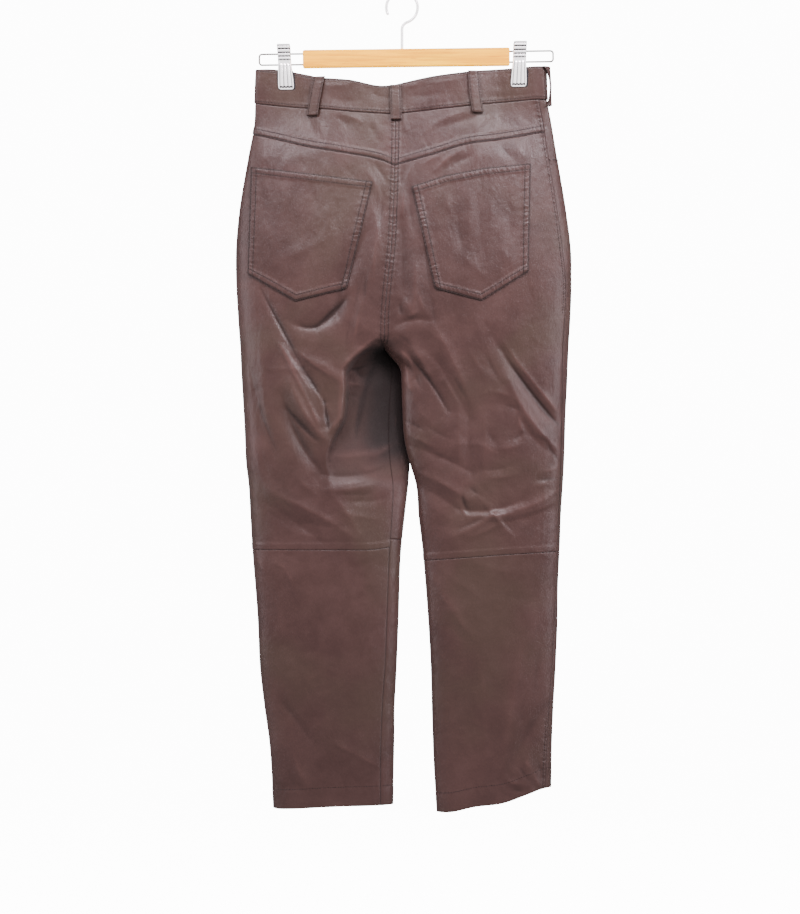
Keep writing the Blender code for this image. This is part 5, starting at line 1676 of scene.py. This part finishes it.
class StitchSettings(bpy.types.PropertyGroup):
    """The thread and its stitches."""
    pitch: FloatProperty(name="Pitch", description="From one stitch to the next", default=0.0033,
                         min=0.001, max=0.01, unit="LENGTH")
    length: FloatProperty(name="Length", description="Length of a stitch that shows", default=0.0027,
                          min=0.001, max=0.01, unit="LENGTH")
    thickness: FloatProperty(name="Thickness", description="Thickness of the thread", default=0.0006,
                             min=0.0002, max=0.002, unit="LENGTH")
    colour: FloatVectorProperty(name="Colour", description="Colour of the thread",
                                default=(0.014, 0.007, 0.006), size=3, min=0, max=1, subtype="COLOR")


class StudioSettings(bpy.types.PropertyGroup):
    """The lamps, the surround and the camera."""
    key: FloatProperty(name="Key light", description="Power of the large soft light", default=60.0,
                       min=0, max=1000, unit="POWER")
    surround: FloatProperty(name="Surround", description="Brightness all round", default=0.38, min=0, max=10)
    distance: FloatProperty(name="Camera distance", description="From the camera to the garment",
                            default=3.2, min=1, max=20, unit="LENGTH")


class TROUSERS_OT_back_panels(bpy.types.Operator):
    """Makes the yokes and the four panels of the back"""
    bl_idname = "trousers.back_panels"
    bl_label = "Back panels"

    def execute(self, context):
        for half in LINES:
            make_back_panel(half, "yoke", "band", "yoke",
                            {"start": "centre", "end": "side", "top": "plain", "foot": "felled"})
            make_back_panel(half, "back_upper", "yoke", "knee",
                            {"start": "centre", "end": "side", "top": "plain", "foot": "knee"})
            make_back_panel(half, "back_lower", "knee", "hem",
                            {"start": "plain", "end": "side", "top": "plain", "foot": "hem"})
        return {"FINISHED"}


class TROUSERS_OT_front_panels(bpy.types.Operator):
    """Makes the front panels and the side pieces of the front pockets"""
    bl_idname = "trousers.front_panels"
    bl_label = "Front panels"

    def execute(self, context):
        for half in LINES:
            make_front_upper(half)
            make_pocket_side(half)
            make_front_lower(half)
        return {"FINISHED"}


class TROUSERS_OT_waistband(bpy.types.Operator):
    """Makes the waistband's three lengths"""
    bl_idname = "trousers.waistband"
    bl_label = "Waistband"

    def execute(self, context):
        make_waistband_back()
        for half in LINES:
            make_waistband_front(half)
        return {"FINISHED"}


class TROUSERS_OT_back_pockets(bpy.types.Operator):
    """Makes the two pointed patch pockets"""
    bl_idname = "trousers.back_pockets"
    bl_label = "Back pockets"

    def execute(self, context):
        edges = dict.fromkeys(("start", "end", "top", "foot"), "felled")
        for half, outline, mouth in (("left", LEFT_POCKET, 2), ("right", RIGHT_POCKET, 4)):
            halves = (outline[:mouth], outline[:mouth - 1:-1])
            patch_piece(f"back_pocket_{half}", half, halves, -1, edges, "pockets")
        return {"FINISHED"}


class TROUSERS_OT_belt_loops(bpy.types.Operator):
    """Makes the five belt loops"""
    bl_idname = "trousers.belt_loops"
    bl_label = "Belt loops"

    def execute(self, context):
        for node, sizes in BELT_LOOPS.items():
            belt_loop_piece(node, *sizes)
        return {"FINISHED"}


class TROUSERS_OT_fastenings(bpy.types.Operator):
    """Makes the fly piece and the waist button"""
    bl_idname = "trousers.fastenings"
    bl_label = "Fly and button"

    def execute(self, context):
        edges = {"start": "plain", "end": "felled", "top": "plain", "foot": "felled"}
        patch_piece("fly", "right", (FLY[:2], FLY[:1:-1]), 1, edges, "fly")
        make_button()
        return {"FINISHED"}


class TROUSERS_OT_stitches(bpy.types.Operator):
    """Sews every row of stitches that the pieces have asked for"""
    bl_idname = "trousers.stitches"
    bl_label = "Stitches"

    def execute(self, context):
        if not rails:
            raise RuntimeError("make the leather pieces before the stitches")
        for group, lines in rails.items():
            stitch_rows(f"stitches_{group}", lines, thread_finish())
        return {"FINISHED"}


class TROUSERS_OT_hanger(bpy.types.Operator):
    """Makes the wooden bar, the hook, the wire loops and the two clips"""
    bl_idname = "trousers.hanger"
    bl_label = "Hanger"

    def execute(self, context):
        make_bar()
        make_hook()
        make_wire_loops()
        for name, place, lean in zip(("left", "right"), CLIP_PLACES, CLIP_LEANS):
            make_clip(name, place - BAR_CENTRE[0] - 0.0008, lean)
        return {"FINISHED"}


class TROUSERS_OT_studio(bpy.types.Operator):
    """Sets the floor, the soft light and the camera"""
    bl_idname = "trousers.studio"
    bl_label = "Studio"

    def execute(self, context):
        make_studio()
        return {"FINISHED"}


STEPS = (TROUSERS_OT_back_panels, TROUSERS_OT_front_panels, TROUSERS_OT_waistband,
         TROUSERS_OT_back_pockets, TROUSERS_OT_belt_loops, TROUSERS_OT_fastenings,
         TROUSERS_OT_stitches, TROUSERS_OT_hanger, TROUSERS_OT_studio)


class TROUSERS_PT_panel(bpy.types.Panel):
    """Lists the pieces and their settings"""
    bl_idname = "TROUSERS_PT_panel"
    bl_label = "Leather trousers"
    bl_space_type = "VIEW_3D"
    bl_region_type = "UI"
    bl_category = "Trousers"

    def draw(self, context):
        for step in STEPS:
            self.layout.operator(step.bl_idname)
        for group in SETTINGS:
            settings = getattr(context.scene, group)
            for label in settings.bl_rna.properties.keys()[2:]:
                self.layout.prop(settings, label)


SETTINGS = {"trousers_leather": LeatherSettings, "trousers_stitches": StitchSettings,
            "trousers_studio": StudioSettings}
CLASSES = (*SETTINGS.values(), *STEPS, TROUSERS_PT_panel)


def register():
    for made in CLASSES:
        bpy.utils.register_class(made)
    for group, made in SETTINGS.items():
        setattr(bpy.types.Scene, group, PointerProperty(type=made))


def unregister():
    for group in SETTINGS:
        delattr(bpy.types.Scene, group)
    for made in reversed(CLASSES):
        bpy.utils.unregister_class(made)


def main():
    """Registers the add-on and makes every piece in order."""
    register()
    for step in STEPS:
        family, name = step.bl_idname.split(".")
        getattr(getattr(bpy.ops, family), name)()


if __name__ == "__main__":
    main()
